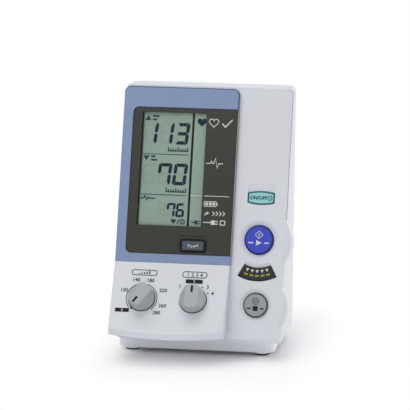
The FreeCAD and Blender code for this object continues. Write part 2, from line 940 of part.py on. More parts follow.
def plinth():
    skirt = block(tray_left, tray_right, tray_front_y, tray_back, tray_bottom, casing_bottom, tray_round)
    inner = block(
        tray_left + wall,
        tray_right - wall,
        tray_front_y + wall,
        tray_back - wall,
        tray_bottom + tray_floor,
        casing_bottom + overrun,
        tray_round - wall,
    )
    shell = skirt.cut(inner)
    added = [well_block(well_wall, tray_bottom, roof_top)]
    rail = well_block(well_wall + tongue_reach, tray_bottom, tongue_high + fit_gap + rail_cap)
    added.append(rail)
    pillar = cylinder(boss_radius, tray_bottom, casing_bottom)
    added += [at(pillar, LEVEL, x, y) for x, y in base_screw_points]
    boss = cylinder(foot_radius + foot_boss, foot_stand, tray_bottom)
    added += [at(boss, LEVEL, x, y) for x, y in foot_points]
    shell = fused([shell] + added)
    cutters = [well_block(0, tongue_low, roof_low)]
    cutters.append(cover_slot(fit_gap, tray_bottom - overrun, tongue_high, far))
    rail_slot = cover_slot(tongue_reach + fit_gap, tongue_low - fit_gap, tongue_high + fit_gap, far)
    cutters.append(rail_slot)
    shank = cylinder(screw_radius + screw_slack, 0, far)
    head = cylinder(screw_head_radius + screw_slack, 0, casing_bottom - screw_seat)
    for x, y in base_screw_points:
        cutters.append(at(shank, LEVEL, x, y))
        cutters.append(at(head, LEVEL, x, y))
    for x, y in foot_points:
        cutters.append(at(cylinder(foot_radius + fit_gap, 0, foot_stand + foot_socket), LEVEL, x, y))
    return less(shell, cutters).removeSplitter()


def battery_cover():
    back = tray_depth / 2
    plate = cover_slot(0, tray_bottom, tongue_low, back)
    tongue = cover_slot(tongue_reach, tongue_low, tongue_high, well_half_length + well_wall)
    grooves = []
    for index in range(cover_groove_count):
        place = tray_back - cover_groove_pitch * (index + 1)
        groove = block(
            -well_half_width / 2,
            well_half_width / 2,
            place,
            place + cover_groove_width,
            0,
            tray_bottom + cover_groove_depth,
        )
        grooves.append(at(groove, LEVEL, tray_middle_x))
    return less(plate.fuse(tongue), grooves).removeSplitter()


def feet():
    pads = []
    for x, y in foot_points:
        pad = cylinder(foot_radius, 0, foot_stand + foot_socket)
        pads.append(at(pad, LEVEL, x, y))
    return Part.makeCompound(pads)


def battery_pack():
    half_length = battery_length / 2
    middle_z = battery_low + battery_height / 2
    cells = []
    for index in range(cell_count):
        x = (index - (cell_count - 1) / 2) * 2 * cell_radius
        cell = along_y(cylinder(cell_radius + cell_sleeve, -half_length, half_length))
        cells.append(at(cell, LEVEL, tray_middle_x + x, tray_middle_y, middle_z))
    half_width = battery_width / 2 - cell_radius
    half_web = cell_radius / 2
    web = block(-half_width, half_width, -half_length, half_length, -half_web, half_web)
    cells.append(at(web, LEVEL, tray_middle_x, tray_middle_y, middle_z))
    return fused(cells).removeSplitter()


# Display


def bezel_edge(edge):
    """Whether an edge lies round the front of the bezel, apart from its foot."""
    return on_plane(edge, FACE, bezel_rise) and edge.BoundBox.ZMax > dial_top.z + overrun


def display_bezel():
    points = rectangle(casing_left, block_right, bezel_foot, bezel_top)
    rounds = [0, 0, bezel_corner_round, bezel_corner_round]
    plate = at(prism(points, rounds, 0, bezel_rise), FACE)
    plate = softened(plate, bezel_bevel, bezel_edge)
    rounds = [window_corner_round, least_round, least_round, window_corner_round]
    cutters = [
        prism(rectangle(*window_box), rounds, window_seat, far),
        prism(grown(lcd_box, lcd_lap + lcd_slack), [0] * 4, -overrun, bezel_rise),
    ]
    shape = less(plate, [at(cutter, FACE) for cutter in cutters])
    return shape.cut(at(slot_shape(button_gap, -overrun, far), hide_place))


def display_window():
    corner = window_corner_round - fit_gap
    rounds = [corner, least_round, least_round, corner]
    plate = prism(grown(window_box, -fit_gap), rounds, window_seat, window_front)
    cutters = [
        prism(rectangle(*lcd_box), [0] * 4, 0, far),
        prism(grown(lcd_box, lens_lap + fit_gap), [0] * 4, 0, window_seat + lens_thick),
    ]
    half_width = hide_width / 2 + hide_rim
    rim = block(
        -half_width,
        half_width,
        -hide_height / 2 - hide_rim / 2,
        hide_height / 2 + hide_rim_top,
        window_front - hide_rim_depth,
        far,
        hide_round + hide_rim / 2,
    )
    cutters.append(at(rim, LEVEL, hide_x, hide_middle))
    cutters.append(at(slot_shape(button_gap, 0, far), LEVEL, hide_x, hide_middle))
    return at(less(plate, cutters), FACE)


def display_lens():
    pane = prism(grown(lcd_box, lens_lap), [0] * 4, window_seat, window_seat + lens_thick)
    return at(pane, FACE)


def lcd_panel():
    return at(prism(grown(lcd_box, lcd_lap), [0] * 4, -wall, lcd_thick - wall), FACE)


def lcd_holder():
    outer = grown(lcd_box, lcd_lap + lcd_holder_rim)
    tray = prism(outer, [least_round] * 4, board_front, -wall)
    floor = -wall - lcd_holder_plate
    hollow = prism(grown(lcd_box, lcd_lap), [0] * 4, board_front - overrun, floor)
    return at(tray.cut(hollow), FACE)


def main_board():
    points = rectangle(*main_board_box)
    plate = prism(points, [least_round] * 4, board_front - board_thick, board_front)
    hole = cylinder(board_screw_radius + screw_slack, -far, 0)
    holes = [at(hole, LEVEL, x, up) for x, up in main_board_points]
    return at(less(plate, holes), FACE)


def board_chips():
    """Processor, driver, memory and connector on the back of the main board."""
    middle = (lcd_box[0] + lcd_box[1]) / 2
    level = board_front - board_thick
    chips = []
    for x, down, width, height, thick in chip_list:
        chip = block(-width / 2, width / 2, -height / 2, height / 2, level - thick, level)
        chips.append(at(chip, FACE, middle + x, main_board_box[3] - down))
    return Part.makeCompound(chips)


def buzzer():
    level = board_front - board_thick
    can = cylinder(buzzer_radius, level - buzzer_height, level)
    return at(can, FACE, main_board_box[1] - buzzer_inset, lcd_box[2])


def hide_dome():
    return at(cylinder(dome_radius, board_front, board_front + dome_height), hide_place)


def hide_button():
    top = window_front + hide_stand
    under = -wall - fit_gap
    cap = slot_shape(0, under, top)
    cap = softened(cap, button_edge, lambda edge: on_plane(edge, LEVEL, top))
    flange = slot_shape(button_flange, under - flange_thick, under)
    low = board_front + dome_height + hide_travel + fit_gap / 2
    stem = cylinder(dome_radius / 2, low, under)
    return at(fused([cap, flange, stem]).removeSplitter(), hide_place)


# Column buttons


def column_button(name):
    place, shape, stand, stem_at = column_buttons[name]
    under = -collar_depth - fit_gap
    cap = shape(0, under, stand)
    cap = softened(cap, button_edge, lambda edge: on_plane(edge, LEVEL, stand))
    flange = shape(button_flange, under - flange_thick, under)
    stem = at(cylinder(stem_radius, under - flange_thick - stem_length, under), LEVEL, *stem_at)
    return at(fused([cap, flange, stem]).removeSplitter(), place)


def control_board():
    level = -control_board_depth
    plate = prism(rectangle(*control_board_box), [least_round] * 4, level - board_thick, level)
    hole = cylinder(board_screw_radius + screw_slack, -far, 0)
    holes = [at(hole, LEVEL, x, up) for x, up in control_board_points]
    return at(less(plate, holes), FACE)


def keypad_mat():
    level = -control_board_depth
    sheet = prism(grown(control_board_box, -mat_margin), [mat_margin] * 4, level, level + mat_thick)
    hole = cylinder(board_boss_radius + fit_gap, -far, far)
    holes = [at(hole, LEVEL, x, up) for x, up in control_board_points]
    sheet = at(less(sheet, holes), FACE)
    dome = cylinder(mat_dome_radius, level, level + mat_thick + mat_dome_height)
    domes = []
    for place, _, _, (x, y) in column_buttons.values():
        domes.append(at(dome, place, x, y))
    return fused([sheet] + domes).removeSplitter()


def screw(shank, head, head_height, bite):
    """Screw with its head below level 0 and its shank above it."""
    return cylinder(head, -head_height, 0).fuse(cylinder(shank, -head_height / 2, bite))


def case_screws():
    bite = screw_seat + screw_bite - fit_gap
    one = screw(screw_radius, screw_head_radius, screw_head_height, bite)
    level = -flange_depth - screw_seat
    return Part.makeCompound([at(one, FACE, x, up, level) for x, up in case_screw_points])


def base_screws():
    bite = screw_seat + screw_bite - fit_gap
    one = screw(screw_radius, screw_head_radius, screw_head_height, bite)
    level = casing_bottom - screw_seat
    return Part.makeCompound([at(one, LEVEL, x, y, level) for x, y in base_screw_points])


def board_screws():
    bite = board_thick + board_screw_bite - fit_gap
    one = screw(board_screw_radius, board_screw_head, board_screw_radius, bite)
    screws = [at(one, FACE, x, up, board_front - board_thick) for x, up in main_board_points]
    level = -control_board_depth - board_thick
    screws += [at(one, FACE, x, up, level) for x, up in control_board_points]
    return Part.makeCompound(screws)


# Dials


def knob(name):
    low = knob_pad_rise + knob_lift
    top = low + knob_height
    skirt = low + knob_skirt
    body = revolved([(0, low), (knob_radius, low), (knob_radius, skirt), (knob_top_radius, top), (0, top)])
    side = [(-grip_half_foot, skirt), (grip_half_foot, skirt), (grip_half_top, top), (-grip_half_top, top)]
    grip = prism(side, [0] * 4, -far, far)
    grip.rotate(V(0, 0, 0), V(1, 0, 0), 90)
    body = body.common(grip.fuse(cylinder(far, low, skirt)))
    cutters = [
        cylinder(nut_radius + fit_gap, 0, low + bushing_rise + fit_gap),
        cylinder(shaft_radius + screw_fit, 0, top - knob_cap),
        pointer_bar(top),
    ]
    return at(less(body, cutters), knob_rests[name])


def pointer_bar(top):
    half = pointer_width / 2
    start = knob_top_radius - pointer_length
    return block(-half, half, start, knob_top_radius - pointer_margin, top - pointer_depth, top)


def knob_pointer(name):
    top = knob_pad_rise + knob_lift + knob_height
    return at(pointer_bar(top), knob_rests[name])


def shaft(name):
    top = knob_pad_rise + knob_lift + knob_height - knob_cap
    return at(cylinder(shaft_radius, -wall - rotary_depth / 2, top), knob_places[name])


def rotary_control(name):
    half = rotary_size / 2
    can = block(-half, half, -half, half, -wall - rotary_depth, -wall, block_round)
    neck = cylinder(bushing_radius, -wall - overrun, knob_pad_rise + bushing_rise)
    bore = cylinder(shaft_radius + shaft_fit, -wall - rotary_depth / 2 - fit_gap, far)
    return at(can.fuse(neck).cut(bore).removeSplitter(), knob_places[name])


def dial_nuts():
    turns = [360 / nut_sides * side for side in range(nut_sides)]
    ring = [(nut_radius * cosine(turn), nut_radius * sine(turn)) for turn in turns]
    nut = prism(ring, [0] * nut_sides, knob_pad_rise, knob_pad_rise + nut_height)
    nut = nut.cut(cylinder(bushing_radius + screw_fit, 0, far))
    return Part.makeCompound([at(nut, place) for place in knob_places.values()])


# Pneumatic unit, in a row along X from the air connector to the pump

pneumatic_line = FreeCAD.Placement(V(0, pump_y, pump_axis_z), FreeCAD.Rotation())


def in_line(shape):
    """Put a shape drawn along local z on the pneumatic line along X."""
    return at(along_x(shape), pneumatic_line)


def air_connector():
    body = cylinder(connector_radius, casing_left + connector_sink, connector_inner)
    inside = casing_left + wall
    flange = cylinder(connector_flange_radius, inside, inside + connector_flange)
    barb = cylinder(barb_radius, connector_inner - overrun, connector_tip)
    socket = cylinder(socket_radius, casing_left - overrun, casing_left + socket_depth)
    bore = cylinder(barb_bore, casing_left, connector_tip + overrun)
    return in_line(less(fused([body, flange, barb]), [socket, bore]).removeSplitter())


def air_hose(start, end):
    inner = barb_radius + hose_fit
    return in_line(tube(inner + hose_wall, inner, start, end))


def manifold():
    half = manifold_size / 2
    body = at(block(manifold_left, manifold_right, -half, half, -half, half), pneumatic_line)
    left_barb = cylinder(barb_radius, manifold_left_tip, manifold_left + overrun)
    right_barb = cylinder(barb_radius, manifold_right - overrun, manifold_right_tip)
    shape = fused([body, in_line(left_barb), in_line(right_barb)])
    passage = in_line(cylinder(barb_bore, manifold_left_tip - overrun, manifold_right_tip + overrun))
    sensor_port = cylinder(sensor_port_radius + screw_fit, half - port_depth, half + overrun)
    valve_port = cylinder(valve_nose_radius + screw_fit, half - port_depth, half + overrun)
    ports = [at(port, pneumatic_line, manifold_middle) for port in (sensor_port, along_y(valve_port))]
    return less(shape, [passage] + ports).removeSplitter()


def pressure_sensor():
    half = sensor_size / 2
    low = manifold_size / 2
    body = block(-half, half, -half, half, low, low + sensor_height, block_round)
    port = cylinder(sensor_port_radius, low - port_depth + fit_gap, low + overrun)
    return at(body.fuse(port).removeSplitter(), pneumatic_line, manifold_middle)


def exhaust_valve():
    low = manifold_size / 2
    body = cylinder(valve_radius, low, low + valve_length)
    nose = cylinder(valve_nose_radius, low - port_depth + fit_gap, low + overrun)
    start = low + (valve_length - valve_coil) / 2
    coil_groove = tube(far, valve_radius - valve_groove, start, start + valve_coil)
    shape = body.cut(coil_groove).fuse(nose)
    return at(along_y(shape.removeSplitter()), pneumatic_line, manifold_middle)


def pump_head():
    body = cylinder(pump_head_radius, pump_left, motor_left)
    nozzle = cylinder(barb_radius, pump_tip, pump_left + overrun)
    bore = cylinder(barb_bore, pump_tip - overrun, pump_left + pump_head_length / 2)
    start = pump_left + saddle_width / 2
    ring = tube(far, pump_head_radius - valve_groove, start, start + pump_ring)
    return in_line(less(body.fuse(nozzle), [bore, ring]).removeSplitter())


def pump_motor():
    body = cylinder(motor_radius, motor_left, motor_right)
    cap = cylinder(motor_cap_radius, motor_right - overrun, motor_right + motor_cap_length)
    return in_line(body.fuse(cap).removeSplitter())


def saddles():
    """Left end and radius of what each saddle holds."""
    head_left = motor_left - saddle_width - hose_gap
    motor_end = motor_right - saddle_width - hose_gap
    return [(head_left, pump_head_radius), (motor_end, motor_radius)]


def pump_bracket():
    half = pump_head_radius + saddle_cheek
    floor = roof_top - pump_axis_z
    top = floor + bracket_thick
    parts = [block(manifold_left, motor_right, -half, half, floor, top, bracket_round)]
    cutters = []
    for left, radius in saddles():
        right = left + saddle_width
        reach = radius + saddle_cheek
        parts.append(block(left, right, -reach, reach, floor, 0))
        cutters.append(along_x(cylinder(radius + pump_fit, left - overrun, right + overrun)))
    pedestal = manifold_size / 2
    parts.append(block(manifold_left, manifold_right, -pedestal, pedestal, floor, -pedestal))
    return at(less(fused(parts), cutters).removeSplitter(), pneumatic_line)


def pump_straps():
    straps = []
    for left, radius in saddles():
        inner = radius + pump_fit
        right = left + saddle_width
        bow = along_x(tube(inner + strap_thick, inner, left, right))
        bow = bow.common(block(-far, far, -far, far, 0, far))
        reach = radius + saddle_cheek
        ears = block(left, right, -reach, reach, 0, strap_thick)
        ears = ears.cut(along_x(cylinder(inner, left - overrun, right + overrun)))
        straps.append(at(bow.fuse(ears).removeSplitter(), pneumatic_line))
    return Part.makeCompound(straps)


# Back fittings


def power_inlet():
    barrel = cylinder(inlet_radius, -inlet_length, 0)
    flange = cylinder(inlet_flange_radius, -wall - inlet_flange, -wall)
    hole = cylinder(inlet_bore, -inlet_bore_depth, overrun)
    pin = cylinder(inlet_pin_radius, -inlet_bore_depth - overrun, -inlet_pin_radius)
    shape = barrel.fuse(flange).cut(hole).fuse(pin)
    return at(shape.removeSplitter(), BACK, -inlet_x, inlet_up)


def rating_plate():
    half = plate_width / 2 - fit_gap
    low, high = -plate_thick, plate_sink - plate_thick
    shape = block(-half, half, fit_gap, plate_height - fit_gap, low, high, plate_round)
    return at(shape, BACK, -casing_middle, plate_up)


pieces = {
    "front_cover": front_cover,
    "rear_cover": rear_cover,
    "plinth": plinth,
    "feet": feet,
    "battery_pack": battery_pack,
    "battery_cover": battery_cover,
    "display_bezel": display_bezel,
    "display_window": display_window,
    "display_lens": display_lens,
    "lcd_panel": lcd_panel,
    "lcd_holder": lcd_holder,
    "main_board": main_board,
    "board_chips": board_chips,
    "buzzer": buzzer,
    "hide_dome": hide_dome,
    "hide_button": hide_button,
    "start_button": lambda: column_button("start"),
    "stop_button": lambda: column_button("stop"),
    "onoff_button": lambda: column_button("onoff"),
    "deflation_button": lambda: column_button("deflation"),
    "control_board": control_board,
    "keypad_mat": keypad_mat,
    "case_screws": case_screws,
    "base_screws": base_screws,
    "board_screws": board_screws,
    "preset_knob": lambda: knob("preset"),
    "preset_pointer": lambda: knob_pointer("preset"),
    "preset_shaft": lambda: shaft("preset"),
    "preset_control": lambda: rotary_control("preset"),
    "mode_knob": lambda: knob("mode"),
    "mode_pointer": lambda: knob_pointer("mode"),
    "mode_shaft": lambda: shaft("mode"),
    "mode_control": lambda: rotary_control("mode"),
    "dial_nuts": dial_nuts,
    "air_connector": air_connector,
    "connector_hose": lambda: air_hose(connector_inner + hose_gap, manifold_left - hose_gap),
    "pump_hose": lambda: air_hose(manifold_right + hose_gap, pump_left - hose_gap),
    "manifold": manifold,
    "pressure_sensor": pressure_sensor,
    "exhaust_valve": exhaust_valve,
    "pump_head": pump_head,
    "pump_motor": pump_motor,
    "pump_bracket": pump_bracket,
    "pump_straps": pump_straps,
    "power_inlet": power_inlet,
    "rating_plate": rating_plate,
}

os.makedirs("parts", exist_ok=True)
for node, make in pieces.items():
    shape = make()
    print(f"{node:18s} solids {len(shape.Solids)} valid {shape.isValid()} volume {shape.Volume:10.1f}")
    shape.exportStep(f"parts/{node}.step")
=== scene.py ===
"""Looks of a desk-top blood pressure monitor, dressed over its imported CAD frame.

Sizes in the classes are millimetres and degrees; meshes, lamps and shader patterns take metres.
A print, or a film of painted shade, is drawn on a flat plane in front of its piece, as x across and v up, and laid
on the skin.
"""

import json
import logging
import math
from dataclasses import dataclass, field
from enum import Enum
from typing import Any, ClassVar, Iterable, Protocol, Sequence

import bmesh
import bpy
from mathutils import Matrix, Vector
from mathutils.bvhtree import BVHTree


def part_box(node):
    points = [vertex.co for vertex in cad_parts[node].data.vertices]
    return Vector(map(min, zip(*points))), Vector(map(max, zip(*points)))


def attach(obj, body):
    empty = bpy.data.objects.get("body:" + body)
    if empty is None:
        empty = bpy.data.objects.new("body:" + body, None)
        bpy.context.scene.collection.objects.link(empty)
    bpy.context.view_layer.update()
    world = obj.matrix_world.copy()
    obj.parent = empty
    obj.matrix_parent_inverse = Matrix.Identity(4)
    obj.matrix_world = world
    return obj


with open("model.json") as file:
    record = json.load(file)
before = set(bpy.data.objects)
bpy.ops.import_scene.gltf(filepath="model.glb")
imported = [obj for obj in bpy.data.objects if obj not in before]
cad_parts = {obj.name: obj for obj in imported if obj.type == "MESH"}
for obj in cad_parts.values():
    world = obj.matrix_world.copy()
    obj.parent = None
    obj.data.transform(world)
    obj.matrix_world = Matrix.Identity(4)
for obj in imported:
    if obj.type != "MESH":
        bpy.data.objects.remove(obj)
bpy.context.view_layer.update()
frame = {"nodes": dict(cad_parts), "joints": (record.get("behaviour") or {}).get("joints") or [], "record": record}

LOG = logging.getLogger("monitor")
MM = 0.001
FULL_TURN = 360.0
QUARTER_TURN = 90.0

Piece = bpy.types.Object
NodeTree = bpy.types.NodeTree
NodeSocket = bpy.types.NodeSocket
Point = tuple[float, float]
Path = tuple[Point, ...]
Sides = tuple[float, float, float, float]
Colour = tuple[float, float, float, float]


def linear(hex_colour: str) -> Colour:
    """Turn an sRGB hex colour into the linear values that shaders take.

    Args:
        hex_colour: Colour as "#RRGGBB".

    Returns:
        Linear red, green, blue and an alpha of 1.
    """
    # The numbers are the sRGB standard's own.
    channels = [int(hex_colour[start : start + 2], 16) / 255 for start in (1, 3, 5)]
    values = [c / 12.92 if c <= 0.04045 else ((c + 0.055) / 1.055) ** 2.4 for c in channels]
    return values[0], values[1], values[2], 1.0


def add_node(
    tree: NodeTree,
    kind: str,
    links: dict[Any, NodeSocket] | None = None,
    values: dict[Any, Any] | None = None,
    **settings: Any,
) -> bpy.types.Node:
    """Add a shader node with its settings, socket values and incoming links.

    Args:
        tree: Node tree that takes the node.
        kind: Blender's name for the kind of node.
        links: Output socket for each input, by the input's name or number.
        values: Plain value for each input, by the input's name or number.
        settings: Properties of the node itself.

    Returns:
        The new node.
    """
    node = tree.nodes.new(kind)
    for name, value in settings.items():
        setattr(node, name, value)
    for socket, value in (values or {}).items():
        node.inputs[socket].default_value = value
    for socket, source in (links or {}).items():
        tree.links.new(source, node.inputs[socket])
    return node


class Surface(Enum):
    """How a surface was made, which sets the pattern of its fine relief."""

    SPARKED = "moulded against a spark-eroded tool"
    POLISHED = "moulded against a polished tool"
    BRUSHED = "rubbed in one direction"
    WOVEN = "glass cloth under resin"
    PRINTED = "screen-printed film of ink"


# Layers of a relief's noise, and how strong each finer layer is.
NOISE_LAYERS: dict[Surface, Point] = {
    Surface.SPARKED: (4.0, 0.6),
    Surface.POLISHED: (1.0, 0.6),
    Surface.BRUSHED: (2.0, 0.5),
    Surface.PRINTED: (4.0, 0.6),
}
BRUSH_STRETCH = (1.0, 0.04, 0.04)
DRIFT_LAYERS = 3.0
LEAST_ROUGHNESS = 0.02
MOST_ROUGHNESS = 1.0
RELIEF_STRENGTH = 0.6
EDGE_SAMPLES = 6
# Blender's mix node has its colour sockets at these places.
MIX_FIRST, MIX_SECOND, MIX_RESULT = 6, 7, 2


@dataclass(frozen=True)
class Finish:
    """A real material and how its surface was made.

    Attributes:
        name: Common name of the material and how it was made.
        colour: Main sRGB colour.
        shade: Colour that it drifts to.
        surface: How the surface was made.
        roughness: Mean roughness.
        grain_mm: Size of one grain of the relief.
        relief_mm: Height of the relief.
        roughness_spread: How far the roughness goes either way.
        drift_mm: Size of the patches in which the colour drifts.
        edge_mm: Radius that a crisp edge of a moulding really has.
        ior: Index of refraction.
        metallic: 1 for a bare metal.
        alpha: How much of what is behind the surface is hidden.
        specular: Strength of the surface's own gloss, none for what lies inside glass.
    """

    name: str
    colour: str
    shade: str
    surface: Surface
    roughness: float
    grain_mm: float
    relief_mm: float
    roughness_spread: float = 0.05
    drift_mm: float = 40.0
    edge_mm: float = 0.25
    ior: float = 1.5
    metallic: float = 0.0
    alpha: float = 1.0
    specular: float = 0.5

    def relief(self, tree: NodeTree, place: NodeSocket) -> NodeSocket:
        """Draw the pattern of the fine relief.

        Args:
            tree: Node tree of the material.
            place: Coordinates in metres.

        Returns:
            Socket with the height of the pattern, from 0 to 1.
        """
        scale = 1 / (self.grain_mm * MM)
        if self.surface is Surface.WOVEN:
            values = {"Scale": scale / math.tau}
            warp = add_node(tree, "ShaderNodeTexWave", {"Vector": place}, values, bands_direction="X")
            weft = add_node(tree, "ShaderNodeTexWave", {"Vector": place}, values, bands_direction="Z")
            links = {0: warp.outputs["Fac"], 1: weft.outputs["Fac"]}
            return add_node(tree, "ShaderNodeMath", links, operation="MAXIMUM").outputs[0]
        if self.surface is Surface.BRUSHED:
            values = {"Scale": BRUSH_STRETCH}
            place = add_node(tree, "ShaderNodeMapping", {"Vector": place}, values).outputs[0]
        layers, strength = NOISE_LAYERS[self.surface]
        values = {"Scale": scale, "Detail": layers, "Roughness": strength}
        return add_node(tree, "ShaderNodeTexNoise", {"Vector": place}, values).outputs[0]

    def build(self) -> bpy.types.Material:
        """Make the material once.

        Returns:
            The material, shared by every piece with this finish.
        """
        known = bpy.data.materials.get(self.name)
        if known is not None:
            return known
        material = bpy.data.materials.new(self.name)
        material.use_nodes = True
        tree = material.node_tree
        shader = tree.nodes["Principled BSDF"]
        shader.inputs["IOR"].default_value = self.ior
        shader.inputs["Metallic"].default_value = self.metallic
        shader.inputs["Alpha"].default_value = self.alpha
        shader.inputs["Specular IOR Level"].default_value = self.specular
        place = add_node(tree, "ShaderNodeTexCoord").outputs["Object"]
        values = {"Scale": 1 / (self.drift_mm * MM), "Detail": DRIFT_LAYERS}
        drift = add_node(tree, "ShaderNodeTexNoise", {"Vector": place}, values).outputs[0]
        values = {MIX_FIRST: linear(self.colour), MIX_SECOND: linear(self.shade)}
        tone = add_node(tree, "ShaderNodeMix", {0: drift}, values, data_type="RGBA")
        tree.links.new(tone.outputs[MIX_RESULT], shader.inputs["Base Color"])
        height = self.relief(tree, place)
        values = {
            "To Min": max(LEAST_ROUGHNESS, self.roughness - self.roughness_spread),
            "To Max": min(MOST_ROUGHNESS, self.roughness + self.roughness_spread),
        }
        gloss = add_node(tree, "ShaderNodeMapRange", {"Value": height}, values)
        tree.links.new(gloss.outputs[0], shader.inputs["Roughness"])
        values = {"Radius": self.edge_mm * MM}
        edge = add_node(tree, "ShaderNodeBevel", values=values, samples=EDGE_SAMPLES)
        links = {"Height": height, "Normal": edge.outputs[0]}
        values = {"Distance": self.relief_mm * MM, "Strength": RELIEF_STRENGTH}
        bump = add_node(tree, "ShaderNodeBump", links, values)
        tree.links.new(bump.outputs[0], shader.inputs["Normal"])
        return material


# Grains finer than about 0.6 mm are drawn that coarse, so that they show in the render.
FINE_GRAIN = 0.6


def satin(
    name: str, colour: str, shade: str, roughness: float, relief_mm: float = 0.008, specular: float = 0.5
) -> Finish:
    """Describe dyed ABS off a fine tool: satin, so its edges catch a soft line of light.

    Args:
        name: Colour word for the material's name.
        colour: Main sRGB colour.
        shade: Colour that it drifts to.
        roughness: Mean roughness.
        relief_mm: Height of the relief.
        specular: Strength of the gloss.

    Returns:
        The finish.
    """
    name = f"ABS moulded satin {name}"
    return Finish(
        name, colour, shade, Surface.SPARKED, roughness, FINE_GRAIN, relief_mm, specular=specular
    )


def screen_ink(name: str, colour: str, shade: str) -> Finish:
    """Describe a screen-printed ink, which also serves for films of painted shade: a thin dull film, a little open
    at the mesh of the screen.

    Args:
        name: Colour word for the material's name.
        colour: Main sRGB colour.
        shade: Colour where the film is thin.

    Returns:
        The ink's finish.
    """
    name = f"Ink screen-printed {name}"
    return Finish(
        name, colour, shade, Surface.PRINTED, 0.55, FINE_GRAIN, 0.004, drift_mm=2.0, specular=0.15
    )


def crystal(name: str, colour: str, shade: str) -> Finish:
    """Describe what is seen inside the display glass, which has no gloss of its own.

    Args:
        name: What it is, for the material's name.
        colour: Main sRGB colour.
        shade: Colour that it drifts to.

    Returns:
        The finish.
    """
    name = f"LCD {name}"
    return Finish(
        name, colour, shade, Surface.PRINTED, 0.6, FINE_GRAIN, 0.002, drift_mm=6.0, specular=0.0
    )


# Pale ABS off a spark-eroded tool: an even, slightly cool matt skin with a fine sparkle.
CASING = Finish(
    "ABS moulded fine matt", "#DADCE2", "#D5D7DE", Surface.SPARKED, 0.48, FINE_GRAIN, 0.012
)
# Painted light: the tray is the covers' ABS, given a whiter tone so that it shows as light as beside the covers
# although it lies in the shade under their overhang.
TRAY_PAINTED_LIGHTER = Finish(
    "ABS moulded fine matt, painted lighter", "#EDEFF4", "#E9EBF1", Surface.SPARKED, 0.48, FINE_GRAIN, 0.012
)
# The frame round the display: blue all through, with a soft light along its rim.
BEZEL = satin("blue", "#7E91B6", "#798BB0", 0.38)
# Acrylic printed from behind in smoke grey: dark, smooth and faintly grained by the ink.
WINDOW = Finish(
    "Acrylic back-printed smoke", "#393B35", "#343631", Surface.POLISHED, 0.26, 0.9, 0.004, specular=0.2
)
# Painted highlight on the window sheet's rounded edge: a paler, duller tone than its face where the edge catches
# light, with fine lines along it.
EDGE = Finish(
    "Acrylic edge painted highlight", "#B0ADA6", "#A7A49D", Surface.BRUSHED, 0.45, 0.7, 0.01, specular=0.3
)
# Clear polycarbonate pane: almost nothing but a thin film of gloss.
LENS = Finish(
    "Polycarbonate polished clear", "#C6CEC9", "#BEC7C2", Surface.POLISHED, 0.08, 2.0, 0.002, alpha=0.015
)
# Reflective display glass: grey green with a soft milky drift.
GLASS = Finish(
    "LCD glass reflective", "#99ADA0", "#94A79B", Surface.POLISHED, 0.3, 3.0, 0.002,
    drift_mm=25.0, specular=0.0,
)
# Inner mouldings are natural pale or grey ABS, dull as they come from the tool.
HOLDER = Finish("ABS moulded natural", "#D9D6CC", "#D2CFC4", Surface.SPARKED, 0.5, 0.8, 0.015)
INNER = Finish("ABS moulded inner grey", "#9EA1A4", "#96999C", Surface.SPARKED, 0.5, 0.8, 0.015)
# Key caps and knobs: coloured all through with soft edges, the deeper tones with less gloss.
START = satin("royal blue", "#404DC0", "#3B48BA", 0.34, specular=0.25)
STOP = satin("grey", "#94989B", "#8E9295", 0.4)
ONOFF = satin("teal", "#8FCCCE", "#89C6C9", 0.38)
DEFLATION = satin("charcoal", "#222625", "#1E2221", 0.42, specular=0.25)
HIDE = satin("slate", "#4C5660", "#46505A", 0.36, specular=0.25)
KNOB = satin("mid grey", "#A6AAAD", "#A0A4A7", 0.42, relief_mm=0.01)
# Rubbers: dead matt, a little dusty.
FOOT = Finish("Rubber moulded black", "#1B1B1C", "#242425", Surface.SPARKED, 0.8, 0.7, 0.03, specular=0.2)
MAT = Finish("Silicone rubber moulded", "#7E8488", "#767C80", Surface.SPARKED, 0.6, 0.8, 0.02)
HOSE = Finish("Rubber extruded grey", "#4B4E50", "#434648", Surface.SPARKED, 0.6, 0.8, 0.02)
# Circuit boards: the glass cloth shows through green solder resist.
BOARD = Finish("Laminate solder-masked green", "#1F5A3A", "#194D31", Surface.WOVEN, 0.4, 1.2, 0.02)
# Chip packages: a dull black resin with a fine even grain.
CHIP = Finish("Epoxy resin moulded black", "#1E1F21", "#262729", Surface.SPARKED, 0.55, 0.7, 0.015)
# Bare metals: their gloss is drawn out along fine lines in one direction.
STEEL = Finish("Steel zinc-plated", "#C3C5C6", "#B4B7B9", Surface.BRUSHED, 0.32, 0.7, 0.006, metallic=1.0)
FITTING = Finish(
    "Brass turned", "#C9A85C", "#BC9A4E", Surface.BRUSHED, 0.28, FINE_GRAIN, 0.006, metallic=1.0
)
PLATE = Finish(
    "Aluminium foil brushed", "#C9CCCF", "#BFC3C6", Surface.BRUSHED, 0.38, FINE_GRAIN, 0.006, metallic=1.0
)
# The battery's shrunk sleeve: smooth and glossy.
SLEEVE = Finish("PVC shrink sleeve blue", "#2F5FA8", "#29569B", Surface.POLISHED, 0.3, 1.5, 0.01)
# Inks: flat dull colour, a little uneven where the film is thin. The black, dark blue and teal films also paint
# shade along the caps' rounded edges, round the hide key's well and round the knobs' bases.
BLACK_INK_AND_PAINTED_SHADE = screen_ink("black", "#131416", "#1D1E20")
INK_WHITE = screen_ink("white", "#DADBD8", "#CBCCC9")
INK_YELLOW = screen_ink("yellow", "#A9A03A", "#9A9133")
TEAL_INK_AND_PAINTED_SHADE = screen_ink("deep teal, also painted shade", "#0F3438", "#163B40")
PAINTED_RIM_SHADE_NAVY = screen_ink("navy painted rim shade", "#0C0E2C", "#121434")
